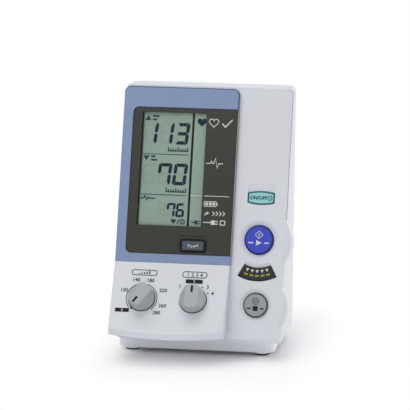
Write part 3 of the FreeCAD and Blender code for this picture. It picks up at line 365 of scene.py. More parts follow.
# Painted shade: where two mouldings or two faces meet, a thin dull line is painted with the shade that the gap
# between them holds.
PAINTED_SEAM_SHADE = screen_ink("painted seam shade", "#333D52", "#3C465B")
PAINTED_CREASE_SHADE = screen_ink("painted crease shade", "#9A9EA7", "#A2A6AE")
# Display segments: a blue black when on, and just seen as a ghost when off.
SEGMENT = crystal("segment on", "#10273A", "#152C3E")
SYMBOL = crystal("symbol on", "#273E49", "#304650")
GHOST = crystal("segment off", "#93A69A", "#90A297")
# Painted shadow at the glass's left border: a black bar, whose finish also serves for the divider, and the strip
# of glass beside it in painted shade.
MARGIN = crystal("glass margin in painted shade", "#5B6B63", "#62726A")
DIVIDER_AND_PAINTED_SHADOW = crystal("divider and painted shadow black", "#0B0F10", "#111516")

SLOT_FINISHES: dict[str, Finish] = {
    "casing_plastic": CASING,
    "bezel_plastic": BEZEL,
    "window_plastic": WINDOW,
    "lens_plastic": LENS,
    "lcd_glass": GLASS,
    "holder_plastic": HOLDER,
    "start_plastic": START,
    "stop_plastic": STOP,
    "onoff_plastic": ONOFF,
    "deflation_plastic": DEFLATION,
    "hide_plastic": HIDE,
    "knob_plastic": KNOB,
    "pointer_ink": BLACK_INK_AND_PAINTED_SHADE,
    "foot_rubber": FOOT,
    "mat_rubber": MAT,
    "board_laminate": BOARD,
    "chip_resin": CHIP,
    "steel": STEEL,
    "hose_rubber": HOSE,
    "brass_fitting": FITTING,
    "inner_plastic": INNER,
    "cell_sleeve": SLEEVE,
    "plate_foil": PLATE,
}
NODE_FINISHES: dict[str, Finish] = {"plinth": TRAY_PAINTED_LIGHTER}


def put_in_scene(name: str, data: bpy.types.ID) -> Piece:
    """Make an object and link it to the scene.

    Args:
        name: Name of the object.
        data: Its mesh, lamp or camera.

    Returns:
        The object.
    """
    thing = bpy.data.objects.new(name, data)
    bpy.context.scene.collection.objects.link(thing)
    return thing


@dataclass(frozen=True)
class Carrier:
    """A face of a CAD node that takes prints, with a flat drawing plane in front of it.

    Attributes:
        node: CAD node whose skin takes the print.
        body: Body that the print rides on.
        foot_y: Y of the drawing plane's zero line.
        foot_z: Z of the drawing plane's zero line.
        lean: How far the plane leans back from upright.
        lift: Height of the ink above the skin.
        reach: How far in front of the plane a point starts to drop.
    """

    node: str
    body: str
    foot_y: float = -38.25
    foot_z: float = 16.0
    lean: float = 19.8
    lift: float = 0.06
    reach: float = 60.0

    def foot(self) -> Vector:
        """Give the middle of the plane's zero line."""
        return Vector((0, self.foot_y, self.foot_z))

    def axes(self) -> tuple[Vector, Vector]:
        """Find the plane's own directions.

        Returns:
            The directions up along the plane and out of it.
        """
        turn = math.radians(self.lean)
        up = Vector((0, math.sin(turn), math.cos(turn)))
        return up, Vector((0, -math.cos(turn), math.sin(turn)))

    def middle(self) -> Point:
        """Find the middle of the node as it is seen square to the drawing plane.

        Returns:
            The middle's place across the plane and up it.
        """
        up = self.axes()[0]
        foot = self.foot() * MM
        places = [vertex.co - foot for vertex in frame["nodes"][self.node].data.vertices]
        across = [place.x / MM for place in places]
        along = [place.dot(up) / MM for place in places]
        return (min(across) + max(across)) / 2, (min(along) + max(along)) / 2

    def seat(self, flat: Sequence[Point]) -> list[Vector]:
        """Drop flat points onto the node's skin.

        Args:
            flat: Points on the drawing plane.

        Returns:
            Points in metres, just above the skin.
        """
        up, out = self.axes()
        mesh = frame["nodes"][self.node].data
        faces = [tuple(face.vertices) for face in mesh.polygons]
        skin = BVHTree.FromPolygons([vertex.co.copy() for vertex in mesh.vertices], faces)
        above = self.foot() * MM + out * (self.reach * MM)
        seated = []
        for x, v in flat:
            hit = skin.ray_cast(above + Vector((x * MM, 0, 0)) + up * (v * MM), -out)[0]
            if hit is None:
                raise ValueError(f"{self.node} has no skin under the print point {x:.1f}, {v:.1f}")
            seated.append(hit + out * (self.lift * MM))
        return seated

    def lay_film(self, mesh: bpy.types.Mesh, slot: str, thickness: float) -> Piece:
        """Make a thin film of a mesh, which rides with the carrier's body.

        Args:
            mesh: Mesh of the film's outer face.
            slot: Record's slot that the film belongs to; not used.
            thickness: Thickness of the film, inward from the mesh.

        Returns:
            The new piece.
        """
        piece = put_in_scene(mesh.name, mesh)
        coat = piece.modifiers.new("film", "SOLIDIFY")
        coat.thickness = thickness * MM
        coat.offset = -1
        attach(piece, self.body)
        return piece


def turned_plane(node: str, joint: str, lift: float) -> tuple[Carrier, float]:
    """Set a drawing plane across the axis of a knob.

    Args:
        node: CAD node that takes the print.
        joint: Joint of the knob.
        lift: Height of the ink above the skin.

    Returns:
        The carrier, with its zero line through the knob's axis, and the knob's place across it.
    """
    row = next(row for row in frame["joints"] if row["name"] == joint)
    x, y, z = (value / MM for value in row["pos_m"])
    lean = math.degrees(math.atan2(-row["axis"][2], row["axis"][1]))
    return Carrier(node, "casing", y, z, lean, lift), x


def on_ring(centre: Point, radius: float, turn: float) -> Point:
    """Find the point of a ring at an angle clockwise from straight up."""
    angle = math.radians(turn)
    return centre[0] + radius * math.sin(angle), centre[1] + radius * math.cos(angle)


def round_path(centre: Point, radius: float, start: float, stop: float, parts: int) -> list[Point]:
    """Set out part of a ring, with its angles clockwise from straight up.

    Args:
        centre: Middle of the ring.
        radius: Radius of the ring.
        start: First angle.
        stop: Last angle.
        parts: How many straight runs the path has.

    Returns:
        Points along the ring, with both ends.
    """
    turns = [start + (stop - start) * part / parts for part in range(parts + 1)]
    return [on_ring(centre, radius, turn) for turn in turns]


# A curve of sines and cosines whose heart is 32 units wide, with its middle 2.5 units low.
HEART_PARTS = 28
HEART_SPAN = 32.0
HEART_RISE = 2.5


def heart(centre: Point, width: float) -> list[Point]:
    """Draw the outline of a heart.

    Args:
        centre: Middle of the heart.
        width: Its width.

    Returns:
        Points round the heart.
    """
    unit = width / HEART_SPAN
    path = []
    for part in range(HEART_PARTS):
        t = math.tau * part / HEART_PARTS
        x = 16 * math.sin(t) ** 3
        y = 13 * math.cos(t) - 5 * math.cos(2 * t) - 2 * math.cos(3 * t) - math.cos(4 * t)
        path.append((centre[0] + x * unit, centre[1] + (y + HEART_RISE) * unit))
    return path


@dataclass
class Artwork:
    """Flat shapes of print or of painted shade on one carrier, gathered into one piece.

    Attributes:
        name: Name of the piece.
        carrier: Face that takes the print.
        finish: Ink of the print, or the film of painted shade.
        slot: Record's slot that the print belongs to.
        step: Longest run that isn't divided, so that the print follows a curved skin.
        film: Thickness of the ink.
        points: Corners of the shapes on the drawing plane.
        faces: Corner numbers of each shape.
    """

    name: str
    carrier: Carrier
    finish: Finish
    slot: str
    step: float = 1.5
    film: float = 0.04
    points: list[Point] = field(default_factory=list)
    faces: list[tuple[int, ...]] = field(default_factory=list)

    # How finely round shapes and type are drawn, how far a mitre reaches, and how often runs are halved.
    ARC_STEP: ClassVar[float] = 6.0
    ARC_LEAST: ClassVar[int] = 6
    CORNER_PARTS: ClassVar[int] = 4
    DOT_PARTS: ClassVar[int] = 20
    TYPE_PARTS: ClassVar[int] = 4
    MITRE_LEAST: ClassVar[float] = 0.5
    HALVINGS: ClassVar[int] = 4

    def polygon(self, corners: Iterable[Point]) -> None:
        """Add a filled outline.

        Args:
            corners: Corners of the outline.
        """
        first = len(self.points)
        self.points.extend(corners)
        self.faces.append(tuple(range(first, len(self.points))))

    def block(self, sides: Sides) -> None:
        """Add a filled box, given by its left, right, low and high sides."""
        left, right, low, high = sides
        self.polygon([(left, low), (right, low), (right, high), (left, high)])

    def divided(self, corners: Sequence[Point], closed: bool) -> list[Point]:
        """Divide long runs, so that the line follows a curved skin.

        Args:
            corners: Points of the line.
            closed: Whether the line comes back to its start.

        Returns:
            The points with more between them.
        """
        ends = list(corners) + ([corners[0]] if closed else [])
        path: list[Point] = []
        for (x0, y0), (x1, y1) in zip(ends, ends[1:]):
            parts = max(1, math.ceil(math.hypot(x1 - x0, y1 - y0) / self.step))
            path += [(x0 + (x1 - x0) * i / parts, y0 + (y1 - y0) * i / parts) for i in range(parts)]
        return path if closed else path + [ends[-1]]

    def line(self, corners: Sequence[Point], width: float, closed: bool = False, strips: int = 1) -> None:
        """Add a line of even width with mitred corners.

        Args:
            corners: Points that the middle of the line passes through.
            width: Width of the line.
            closed: Whether the line comes back to its start.
            strips: Strips side by side that make up the width, for a line on a rounded edge.
        """
        path = self.divided(corners, closed)
        count = len(path)
        first = len(self.points)
        for index, (x, y) in enumerate(path):
            before = path[index - 1] if index or closed else path[index]
            after = path[(index + 1) % count] if index < count - 1 or closed else path[index]
            into = Vector((x - before[0], y - before[1])).normalized()
            onward = Vector((after[0] - x, after[1] - y)).normalized()
            along = (into + onward).normalized()
            share = max(self.MITRE_LEAST, along.dot(onward if onward.length else into))
            side = Vector((-along.y, along.x)) * (width / 2 / share)
            for strip in range(strips + 1):
                part = 1 - 2 * strip / strips
                self.points.append((x + side.x * part, y + side.y * part))
        for index in range(count if closed else count - 1):
            near = first + (strips + 1) * index
            far = first + (strips + 1) * ((index + 1) % count)
            self.faces += [(near + i, near + i + 1, far + i + 1, far + i) for i in range(strips)]

    def bar(self, left: float, right: float, middle: float, height: float) -> None:
        """Add a filled bar that lies across the face."""
        self.line([(left, middle), (right, middle)], height)

    def post(self, x: float, low: float, high: float, width: float) -> None:
        """Add a filled bar that stands up the face."""
        self.line([(x, low), (x, high)], width)

    def dashes(self, x: float, middle: float, span: Point, height: float) -> None:
        """Add two like bars, one on each side of a middle line.

        Args:
            x: Place of the middle line.
            middle: Height of the bars' middle.
            span: Near and far ends of a bar, counted from the middle line.
            height: Height of the bars.
        """
        near, far = span
        self.bar(x - far, x - near, middle, height)
        self.bar(x + near, x + far, middle, height)

    def arc(
        self, centre: Point, radius: float, width: float, start: float, stop: float, strips: int = 1
    ) -> None:
        """Add part of a ring, with its angles clockwise from straight up.

        Args:
            centre: Middle of the ring.
            radius: Radius at the middle of the line.
            width: Width of the line.
            start: First angle.
            stop: Last angle.
            strips: Strips side by side that make up the width.
        """
        turn = abs(stop - start)
        parts = max(self.ARC_LEAST, math.ceil(turn / self.ARC_STEP))
        path = round_path(centre, radius, start, stop, parts)
        closed = turn >= FULL_TURN
        self.line(path[:-1] if closed else path, width, closed, strips)

    def ring(self, centre: Point, radius: float, width: float, strips: int = 1) -> None:
        """Add a whole ring."""
        self.arc(centre, radius, width, 0.0, FULL_TURN, strips)

    def dot(self, centre: Point, radius: float) -> None:
        """Add a filled round dot."""
        around = round_path(centre, radius, QUARTER_TURN, QUARTER_TURN - FULL_TURN, self.DOT_PARTS)
        self.polygon(around[:-1])

    def frame_box(self, sides: Sides, radius: float, width: float, strips: int = 1) -> None:
        """Add an outlined box with round corners.

        Args:
            sides: Left, right, low and high sides.
            radius: Radius of the corners.
            width: Width of the line.
            strips: Strips side by side that make up the width.
        """
        left, right = sides[0] + radius, sides[1] - radius
        low, high = sides[2] + radius, sides[3] - radius
        path: list[Point] = []
        for quarter, middle in enumerate(((right, high), (left, high), (left, low), (right, low))):
            start = QUARTER_TURN * (1 - quarter)
            path += round_path(middle, radius, start, start - QUARTER_TURN, self.CORNER_PARTS)
        self.line(path, width, True, strips)

    def words(self, letters: str, centre: Point, height: float, bold: float = 0.02) -> None:
        """Add plain figures or letters in Blender's own typeface.

        Args:
            letters: What is printed.
            centre: Middle of the print.
            height: Height of a figure.
            bold: How far the outlines swell, as a share of the type size.
        """
        curve = bpy.data.curves.new("letters", "FONT")
        curve.body = letters
        curve.resolution_u = self.TYPE_PARTS
        curve.offset = bold
        holder = bpy.data.objects.new("letters", curve)
        mesh = bpy.data.meshes.new_from_object(holder)
        places = [vertex.co.copy() for vertex in mesh.vertices]
        low = Vector((min(p.x for p in places), min(p.y for p in places)))
        high = Vector((max(p.x for p in places), max(p.y for p in places)))
        scale = height / (high.y - low.y)
        middle = (low + high) / 2
        first = len(self.points)
        for place in places:
            x, y = (place.x - middle.x) * scale, (place.y - middle.y) * scale
            self.points.append((centre[0] + x, centre[1] + y))
        self.faces += [tuple(first + index for index in face.vertices) for face in mesh.polygons]
        bpy.data.objects.remove(holder)
        bpy.data.curves.remove(curve)
        bpy.data.meshes.remove(mesh)

    def build(self) -> Piece:
        """Lay the print on its carrier as one piece that rides with it.

        Returns:
            The new piece.
        """
        mesh = bpy.data.meshes.new(self.name)
        sheet = bmesh.new()
        corners = [sheet.verts.new((x, v, 0)) for x, v in self.points]
        for face in self.faces:
            sheet.faces.new([corners[index] for index in face])
        bmesh.ops.triangulate(sheet, faces=sheet.faces[:])
        for _ in range(self.HALVINGS):
            long_edges = [edge for edge in sheet.edges if edge.calc_length() > self.step]
            bmesh.ops.subdivide_edges(sheet, edges=long_edges, cuts=1)
            bmesh.ops.triangulate(sheet, faces=sheet.faces[:])
        sheet.normal_update()
        bmesh.ops.reverse_faces(sheet, faces=[face for face in sheet.faces if face.normal.z < 0])
        places = self.carrier.seat([(vertex.co.x, vertex.co.y) for vertex in sheet.verts])
        for vertex, place in zip(sheet.verts, places):
            vertex.co = place
        sheet.to_mesh(mesh)
        sheet.free()
        mesh.materials.append(self.finish.build())
        return self.carrier.lay_film(mesh, self.slot, self.film)


# Prints on flat faces need no dividing, and the painted shade of rims on rounded edges lies in several strips.
FLAT_STEP = 60.0
RIM_STRIPS = 5
# Straight runs in the quarter turn of a long line.
TURN_PARTS = 9
# Height of the dial panel's inks above its skin, and of the inks that lie over them.
PANEL_LIFT = 0.08
PANEL_OVER_LIFT = 0.14


@dataclass
class Casing:
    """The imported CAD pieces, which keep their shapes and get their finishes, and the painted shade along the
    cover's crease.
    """

    cover: Carrier = Carrier("front_cover", "casing")
    crease_span: Point = (95.0, 196.2)
    crease_place: float = 62.85
    crease_corner: float = 3.8
    crease_width: float = 0.45
    crease_step: float = 3.0

    def dress(self) -> list[Piece]:
        """Give every CAD node its own finish, or that of its slot in the record.

        Returns:
            The CAD nodes.
        """
        nodes = []
        for part in frame["record"]["subparts"]:
            node = frame["nodes"][part["node"]]
            finish = NODE_FINISHES.get(part["node"], SLOT_FINISHES[part["material_slot"]])
            node.data.materials.clear()
            node.data.materials.append(finish.build())
            nodes.append(node)
        return nodes

    def build_crease(self) -> Piece:
        """Make the faint line of painted shade where the column's front bevel runs into the right wall.

        Returns:
            The new piece.
        """
        line = Artwork("cover_crease_painted_shade", self.cover, PAINTED_CREASE_SHADE, "casing_plastic", self.crease_step)
        low, high = self.crease_span
        middle = (self.crease_place - self.crease_corner, high - self.crease_corner)
        turn = round_path(middle, self.crease_corner, QUARTER_TURN, 0.0, TURN_PARTS)
        line.line([(self.crease_place, low), *turn], self.crease_width)
        return line.build()

    def build(self) -> list[Piece]:
        """Dress the CAD pieces and add the painted shade along the crease."""
        return [*self.dress(), self.build_crease()]


@dataclass(frozen=True)
class DigitStyle:
    """Proportions of a slanted seven-segment figure.

    Attributes:
        height: Height of a figure.
        width: Width of a figure.
        stroke: Width of a segment.
        pitch: From one figure to the next.
        slant: Lean of the figures.
        gap_share: Gap between segments, as a share of the stroke.
        cut_share: Cut at the outer corners, as a share of the stroke.
    """

    height: float
    width: float
    stroke: float
    pitch: float
    slant: float = 5.5
    gap_share: float = 0.06
    cut_share: float = 0.45

    LIT: ClassVar[dict[str, str]] = {"0": "abcdef", "1": "bc", "3": "abcdg", "6": "acdefg", "7": "abcf"}

    def segments(self) -> dict[str, list[Point]]:
        """Draw the seven segments of one figure with its foot at the origin.

        Returns:
            Outline of each segment, by its usual letter.
        """
        h, w, t = self.height, self.width, self.stroke
        g, c, m = t * self.gap_share, t * self.cut_share, h / 2
        high = [(0, h - c - g), (c, h - g), (t, h - t - g), (t, m + t / 2), (t / 2, m + g), (0, m + t / 2)]
        top = [(c + g, h), (w - c - g, h), (w - t - g, h - t), (t + g, h - t)]
        half = [(t / 2 + g, m), (t + g, m + t / 2), (w - t - g, m + t / 2)]
        shapes = {
            "a": top,
            "b": [(w - x, y) for x, y in high],
            "c": [(w - x, h - y) for x, y in high],
            "d": [(x, h - y) for x, y in top],
            "e": [(x, h - y) for x, y in high],
            "f": high,
            "g": half + [(w - x, h - y) for x, y in half],
        }
        lean = math.tan(math.radians(self.slant))
        return {name: [(x + y * lean, y) for x, y in shape] for name, shape in shapes.items()}


@dataclass(frozen=True)
class Reading:
    """One number on the display.

    Attributes:
        figures: Figures that are on, which end at the right.
        foot: Height of the figures' foot.
        style: Proportions of the figures.
        places: How many figures the display has there.
    """

    figures: str
    foot: float
    style: DigitStyle
    places: int = 3


@dataclass(frozen=True)
class TrendSign:
    """An arrowhead with a long and a short bar beside it, for a high or a low reading.

    Attributes:
        corner: Left end of the arrowhead's base.
        rise: 1 where the head points up, -1 where it points down.
        base: Width of the arrowhead.
        tip: Height of the arrowhead.
        bar_place: Left end of the bars, counted from the corner.
        bars: Place from base to tip, and length, of each bar.
        stroke: Width of the bars.
    """

    corner: Point
    rise: int
    base: float = 4.8
    tip: float = 4.1
    bar_place: float = 6.0
    bars: Path = ((3.4, 5.0), (0.7, 3.4))
    stroke: float = 1.4

    def draw(self, marks: Artwork) -> None:
        """Draw the sign.

        Args:
            marks: Print that takes it.
        """
        x, v = self.corner
        marks.polygon([(x, v), (x + self.base, v), (x + self.base / 2, v + self.rise * self.tip)])
        left = x + self.bar_place
        for place, length in self.bars:
            marks.bar(left, left + length, v + self.rise * place, self.stroke)


@dataclass(frozen=True)
class PlugSign:
    """A mains plug that points to the right.

    Attributes:
        level: Height of its middle.
        cord: Left and right ends of the cord.
        cord_width: Width of the cord.
        body: Left and right sides of the body.
        half: Half of the body's height.
        prong_end: Right end of the prongs.
        prong_side: How far each prong is from the middle.
        prong_width: Width of a prong.
    """

    level: float
    cord: Point
    cord_width: float
    body: Point
    half: float
    prong_end: float
    prong_side: float
    prong_width: float = 0.8

    def draw(self, marks: Artwork) -> None:
        """Draw the sign.

        Args:
            marks: Print that takes it.
        """
        marks.bar(*self.cord, self.level, self.cord_width)
        marks.block((*self.body, self.level - self.half, self.level + self.half))
        for side in (self.prong_side, -self.prong_side):
            marks.bar(self.body[1], self.prong_end, self.level + side, self.prong_width)


LARGE_FIGURES = DigitStyle(16.9, 10.7, 2.6, 12.3)
SMALL_FIGURES = DigitStyle(10.8, 6.7, 1.8, 7.4)


@dataclass
class Display:
    """The LCD's figures, rules and black divider, the painted shadow and shade along its left edge, and its small
    signs.
    """

    panel: Carrier = Carrier("lcd_panel", "casing")
    panel_over: Carrier = Carrier("lcd_panel", "casing", lift=0.12)
    left: float = -54.2
    foot: float = 85.8
    top: float = 175.8
    figures_right: float = -17.3
    readings: tuple[Reading, ...] = (
        Reading("113", 150.5, LARGE_FIGURES),
        Reading("70", 118.7, LARGE_FIGURES),
        Reading("76", 93.9, SMALL_FIGURES),
    )
    pulse_heart: Point = (-6.8, 168.0)
    pulse_heart_width: float = 7.4
    divider: float = -13.5
    divider_width: float = 1.7
    painted_shadow_width: float = 1.4
    margin_width: float = 0.8
    rule_heights: Point = (142.5, 110.9)
    rule_inset: float = 1.6
    rule_right: float = -16.0
    rule_width: float = 0.6
    trends: tuple[TrendSign, ...] = (TrendSign((-51.6, 168.8), 1), TrendSign((-51.4, 141.3), -1))
    beat: Path = (
        (-51.9, 107.9), (-49.3, 107.9), (-48.3, 109.8), (-46.9, 106.4),
        (-45.9, 108.7), (-45.0, 107.9), (-40.2, 107.9),
    )
    beat_width: float = 1.05
    ruler_feet: Point = (145.3, 113.4)
    ruler_left: float = -32.0
    ruler_ticks: int = 9
    ruler_pitch: float = 1.9
    ruler_long_every: int = 4
    ruler_long: float = 3.0
    ruler_short: float = 1.9
    ruler_width: float = 0.9
    ruler_overhang: float = 0.3
    rate_heart: Point = (-25.0, 90.4)
    rate_heart_width: float = 4.2
    rate_slash: Path = ((-22.2, 88.6), (-20.6, 92.3))
    clock: Point = (-18.0, 90.4)
    clock_radius: float = 1.7
    clock_hands: Point = (1.1, 0.8)
    hand_width: float = 0.6
    sign_width: float = 0.8
    plug: PlugSign = PlugSign(90.3, (-10.8, -8.2), 0.9, (-8.4, -6.2), 1.6, -4.2, 0.9)

    def start_print(self, name: str, finish: Finish) -> Artwork:
        """Start a print, or a film of painted shade, on the flat display glass."""
        return Artwork(name, self.panel, finish, "lcd_glass", FLAT_STEP)

    def draw_reading(self, lit: Artwork, ghost: Artwork, reading: Reading) -> None:
        """Draw one number against the figures' right edge, with the segments that are off.

        Args:
            lit: Takes the segments that are on.
            ghost: Takes the segments that are off.
            reading: The number.
        """
        style = reading.style
        for place in range(reading.places):
            x = self.figures_right - style.width - place * style.pitch
            figure = reading.figures[-1 - place] if place < len(reading.figures) else ""
            for name, shape in style.segments().items():
                on = figure and name in style.LIT[figure]
                (lit if on else ghost).polygon((x + px, reading.foot + py) for px, py in shape)

    def build_figures(self) -> list[Piece]:
        """Make the three numbers and the beating heart.

        Returns:
            The segments that are on and those that are off.
        """
        lit = Artwork("lcd_figures", self.panel_over, SEGMENT, "lcd_glass", FLAT_STEP)
        ghost = self.start_print("lcd_ghosts", GHOST)
        for reading in self.readings:
            self.draw_reading(lit, ghost, reading)
        lit.polygon(heart(self.pulse_heart, self.pulse_heart_width))
        return [lit.build(), ghost.build()]

    def build_borders(self) -> list[Piece]:
        """Make the rules between the numbers, the black divider, the black painted shadow along the left edge and
        the paler painted shade beside it.

        Returns:
            The new pieces.
        """
        rules = self.start_print("lcd_rules", SYMBOL)
        for height in self.rule_heights:
            rules.bar(self.left + self.rule_inset, self.rule_right, height, self.rule_width)
        middle, tall = (self.foot + self.top) / 2, self.top - self.foot
        half = self.divider_width / 2
        inner = self.left + self.painted_shadow_width
        # The divider's bar is the display's own; the bar at the left edge is painted shadow of the recess, and the
        # strip beside it painted shade.
        gasket = self.start_print("lcd_divider_and_painted_shadow", DIVIDER_AND_PAINTED_SHADOW)
        gasket.bar(self.divider - half, self.divider + half, middle, tall)
        gasket.bar(self.left, inner, middle, tall)
        shade = self.start_print("lcd_margin", MARGIN)
        shade.bar(inner, inner + self.margin_width, middle, tall)
        return [rules.build(), gasket.build(), shade.build()]

    def draw_ruler(self, signs: Artwork, foot: float) -> None:
        """Draw a row of ticks on a bar.

        Args:
            signs: Print that takes the ruler.
            foot: Height of the bar.
        """
        for tick in range(self.ruler_ticks):
            x = self.ruler_left + tick * self.ruler_pitch
            tall = self.ruler_short if tick % self.ruler_long_every else self.ruler_long
            signs.post(x, foot, foot + tall, self.ruler_width)
        left = self.ruler_left - self.ruler_overhang
        right = self.ruler_left + (self.ruler_ticks - 1) * self.ruler_pitch + self.ruler_overhang
        signs.bar(left, right, foot, self.ruler_width)

    def build_symbols(self) -> Piece:
        """Make the small signs beside the readings: trends, beat, rulers, rate and mains.

        Returns:
            The new piece.
        """
        signs = self.start_print("lcd_symbols", SYMBOL)
        for trend in self.trends:
            trend.draw(signs)
        signs.line(self.beat, self.beat_width)
        for foot in self.ruler_feet:
            self.draw_ruler(signs, foot)
        signs.polygon(heart(self.rate_heart, self.rate_heart_width))
        signs.line(self.rate_slash, self.sign_width)
        signs.ring(self.clock, self.clock_radius, self.sign_width)
        (x, v), (up, right) = self.clock, self.clock_hands
        signs.line([(x, v + up), (x, v), (x + right, v)], self.hand_width)
        self.plug.draw(signs)
        return signs.build()

    def build(self) -> list[Piece]:
        """Make every print on the display glass."""
        return [*self.build_figures(), *self.build_borders(), self.build_symbols()]


@dataclass
class WindowTrim:
    """The white signs on the smoked window, its lapped edge with a painted highlight, and the painted shade along
    the seam of the bezel round it.
    """

    window: Carrier = Carrier("display_window", "casing")
    pane: Carrier = Carrier("display_lens", "casing")
    bezel: Carrier = Carrier("display_bezel", "casing")
    ready_heart: Point = (3.0, 167.6)
    ready_heart_width: float = 7.4
    ready_tick: Path = ((9.4, 167.8), (12.0, 164.9), (17.4, 170.8))
    ready_tick_width: float = 0.95
    beat: Path = (
        (-1.4, 136.2), (1.6, 136.2), (2.8, 138.0), (3.8, 136.2), (4.6, 136.2),
        (5.8, 140.4), (7.3, 132.9), (8.4, 136.2), (11.8, 136.2),
    )
    sign_width: float = 0.7
    rule_level: float = 110.8
    rule: Point = (-1.4, 18.0)
    rule_width: float = 0.55
    pane_rule: Point = (-12.4, -2.4)
    pane_rule_width: float = 0.5
    battery: Sides = (-1.2, 8.4, 102.9, 106.5)
    battery_width: float = 0.6
    battery_pole: Point = (8.5, 9.4)
    battery_pole_height: float = 1.6
    cells: int = 3
    cell: Point = (-0.3, 1.9)
    cell_pitch: float = 2.8
    cell_height: float = 2.2
    bolt: Path = ((2.2, 99.4), (-0.6, 96.8), (1.3, 96.9), (-0.4, 95.1), (3.6, 98.0), (1.5, 97.9))
    chevrons: int = 4
    chevron: Point = (5.6, 97.35)
    chevron_pitch: float = 2.7
    chevron_tip: float = 1.6
    chevron_half: float = 1.65
    plug: PlugSign = PlugSign(90.3, (-1.2, 5.0), 0.75, (4.8, 7.8), 1.7, 10.4, 1.0)
    socket: Sides = (12.2, 15.8, 88.7, 91.9)
    socket_width: float = 0.75
    box_corner: float = 0.5
    bezel_top: float = 195.0
    bezel_rise: float = 3.4
    bezel_round: float = 1.0
    bezel_corner: float = 5.0
    seam_inset: float = 0.42
    seam_width: float = 0.6
    seam_strips: int = 4
    seam_step: float = 1.0
    edge_span: Point = (64.8, 178.7)
    edge_parts: int = 6
    highlight_strips: tuple[int, ...] = (2, 3, 4, 5)

    def draw_battery(self, signs: Artwork) -> None:
        """Draw the battery with its cells, and the bolt and chevrons of its charge.

        Args:
            signs: Print that takes them.
        """
        signs.frame_box(self.battery, self.box_corner, self.battery_width)
        level = (self.battery[2] + self.battery[3]) / 2
        signs.bar(*self.battery_pole, level, self.battery_pole_height)
        for cell in range(self.cells):
            left, right = (side + cell * self.cell_pitch for side in self.cell)
            signs.bar(left, right, level, self.cell_height)
        signs.polygon(self.bolt)
        x, v = self.chevron
        for _ in range(self.chevrons):
            ends = (x, v + self.chevron_half), (x, v - self.chevron_half)
            signs.line([ends[0], (x + self.chevron_tip, v), ends[1]], self.sign_width)
            x += self.chevron_pitch

    def build_signs(self) -> Piece:
        """Make the white signs: ready, beat, battery, charge and mains.

        Returns:
            The new piece.
        """
        signs = Artwork("window_signs", self.window, INK_WHITE, "window_plastic", FLAT_STEP)
        signs.line(heart(self.ready_heart, self.ready_heart_width), self.sign_width, closed=True)
        signs.line(self.ready_tick, self.ready_tick_width)
        signs.line(self.beat, self.sign_width)
        self.draw_battery(signs)
        self.plug.draw(signs)
        signs.frame_box(self.socket, self.box_corner, self.socket_width)
        signs.bar(*self.rule, self.rule_level, self.rule_width)
        return signs.build()

    def build_edge(self) -> Piece:
        """Make the window sheet's right edge, which laps round the rim of the bezel, with a painted highlight on
        its rounded strips.

        Returns:
            The new piece.
        """
        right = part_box("display_bezel")[1].x / MM
        up, out = self.window.axes()
        lift = self.window.lift
        middle = (right - self.bezel_round, self.bezel_rise - self.bezel_round)
        profile = round_path(middle, self.bezel_round + lift, 0.0, QUARTER_TURN, self.edge_parts)
        profile.append((profile[-1][0], lift))
        foot = self.window.foot()
        places = [
            foot + Vector((x, 0, 0)) + up * v + out * w for v in self.edge_span for x, w in profile
        ]
        count = len(profile)
        faces = [(i, i + 1, count + i + 1, count + i) for i in range(count - 1)]
        mesh = bpy.data.meshes.new("window_edge")
        mesh.from_pydata([place * MM for place in places], [], faces)
        mesh.materials.append(WINDOW.build())
        mesh.materials.append(EDGE.build())
        # Painted highlight: the rounded strips take the paler finish, for the light that they catch.
        for strip in self.highlight_strips:
            mesh.polygons[strip].material_index = 1
        return self.window.lay_film(mesh, "window_plastic", lift)

    def build_seam(self) -> Piece:
        """Make the thin dark line of painted shade where the bezel's top edge meets the cover.

        Returns:
            The new piece.
        """
        low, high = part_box("display_bezel")
        right = high.x / MM - self.seam_inset
        left = low.x / MM + self.seam_inset
        radius = self.bezel_corner - self.seam_inset
        level = self.bezel_top - self.bezel_corner
        path = round_path((left + radius, level), radius, -QUARTER_TURN, 0.0, TURN_PARTS)
        path += round_path((right - radius, level), radius, 0.0, QUARTER_TURN, TURN_PARTS)
        path.append((right, self.edge_span[1]))
        seam = Artwork("bezel_seam_painted_shade", self.bezel, PAINTED_SEAM_SHADE, "bezel_plastic", self.seam_step)
        seam.line(path, self.seam_width, strips=self.seam_strips)
        return seam.build()

    def build_pane_rule(self) -> Piece:
        """Make the short white rule on the clear pane.

        Returns:
            The new piece.
        """
        rule = Artwork("pane_rule", self.pane, INK_WHITE, "lens_plastic", FLAT_STEP)
        rule.bar(*self.pane_rule, self.rule_level, self.pane_rule_width)
        return rule.build()

    def build(self) -> list[Piece]:
        """Make the signs, the edge, the seam and the rule."""
        return [self.build_signs(), self.build_edge(), self.build_seam(), self.build_pane_rule()]


@dataclass(frozen=True)
class DialLabel:
    """A filled label with a pale figure, in places set out from a knob's axis.

    Attributes:
        span: Left and right ends.
        level: Height of its middle.
        height: Height of the label.
        figure: What is printed on it.
        figure_place: Place of the figure's middle.
        figure_height: Height of the figure.
    """

    span: Point
    level: float
    height: float
    figure: str
    figure_place: float
    figure_height: float


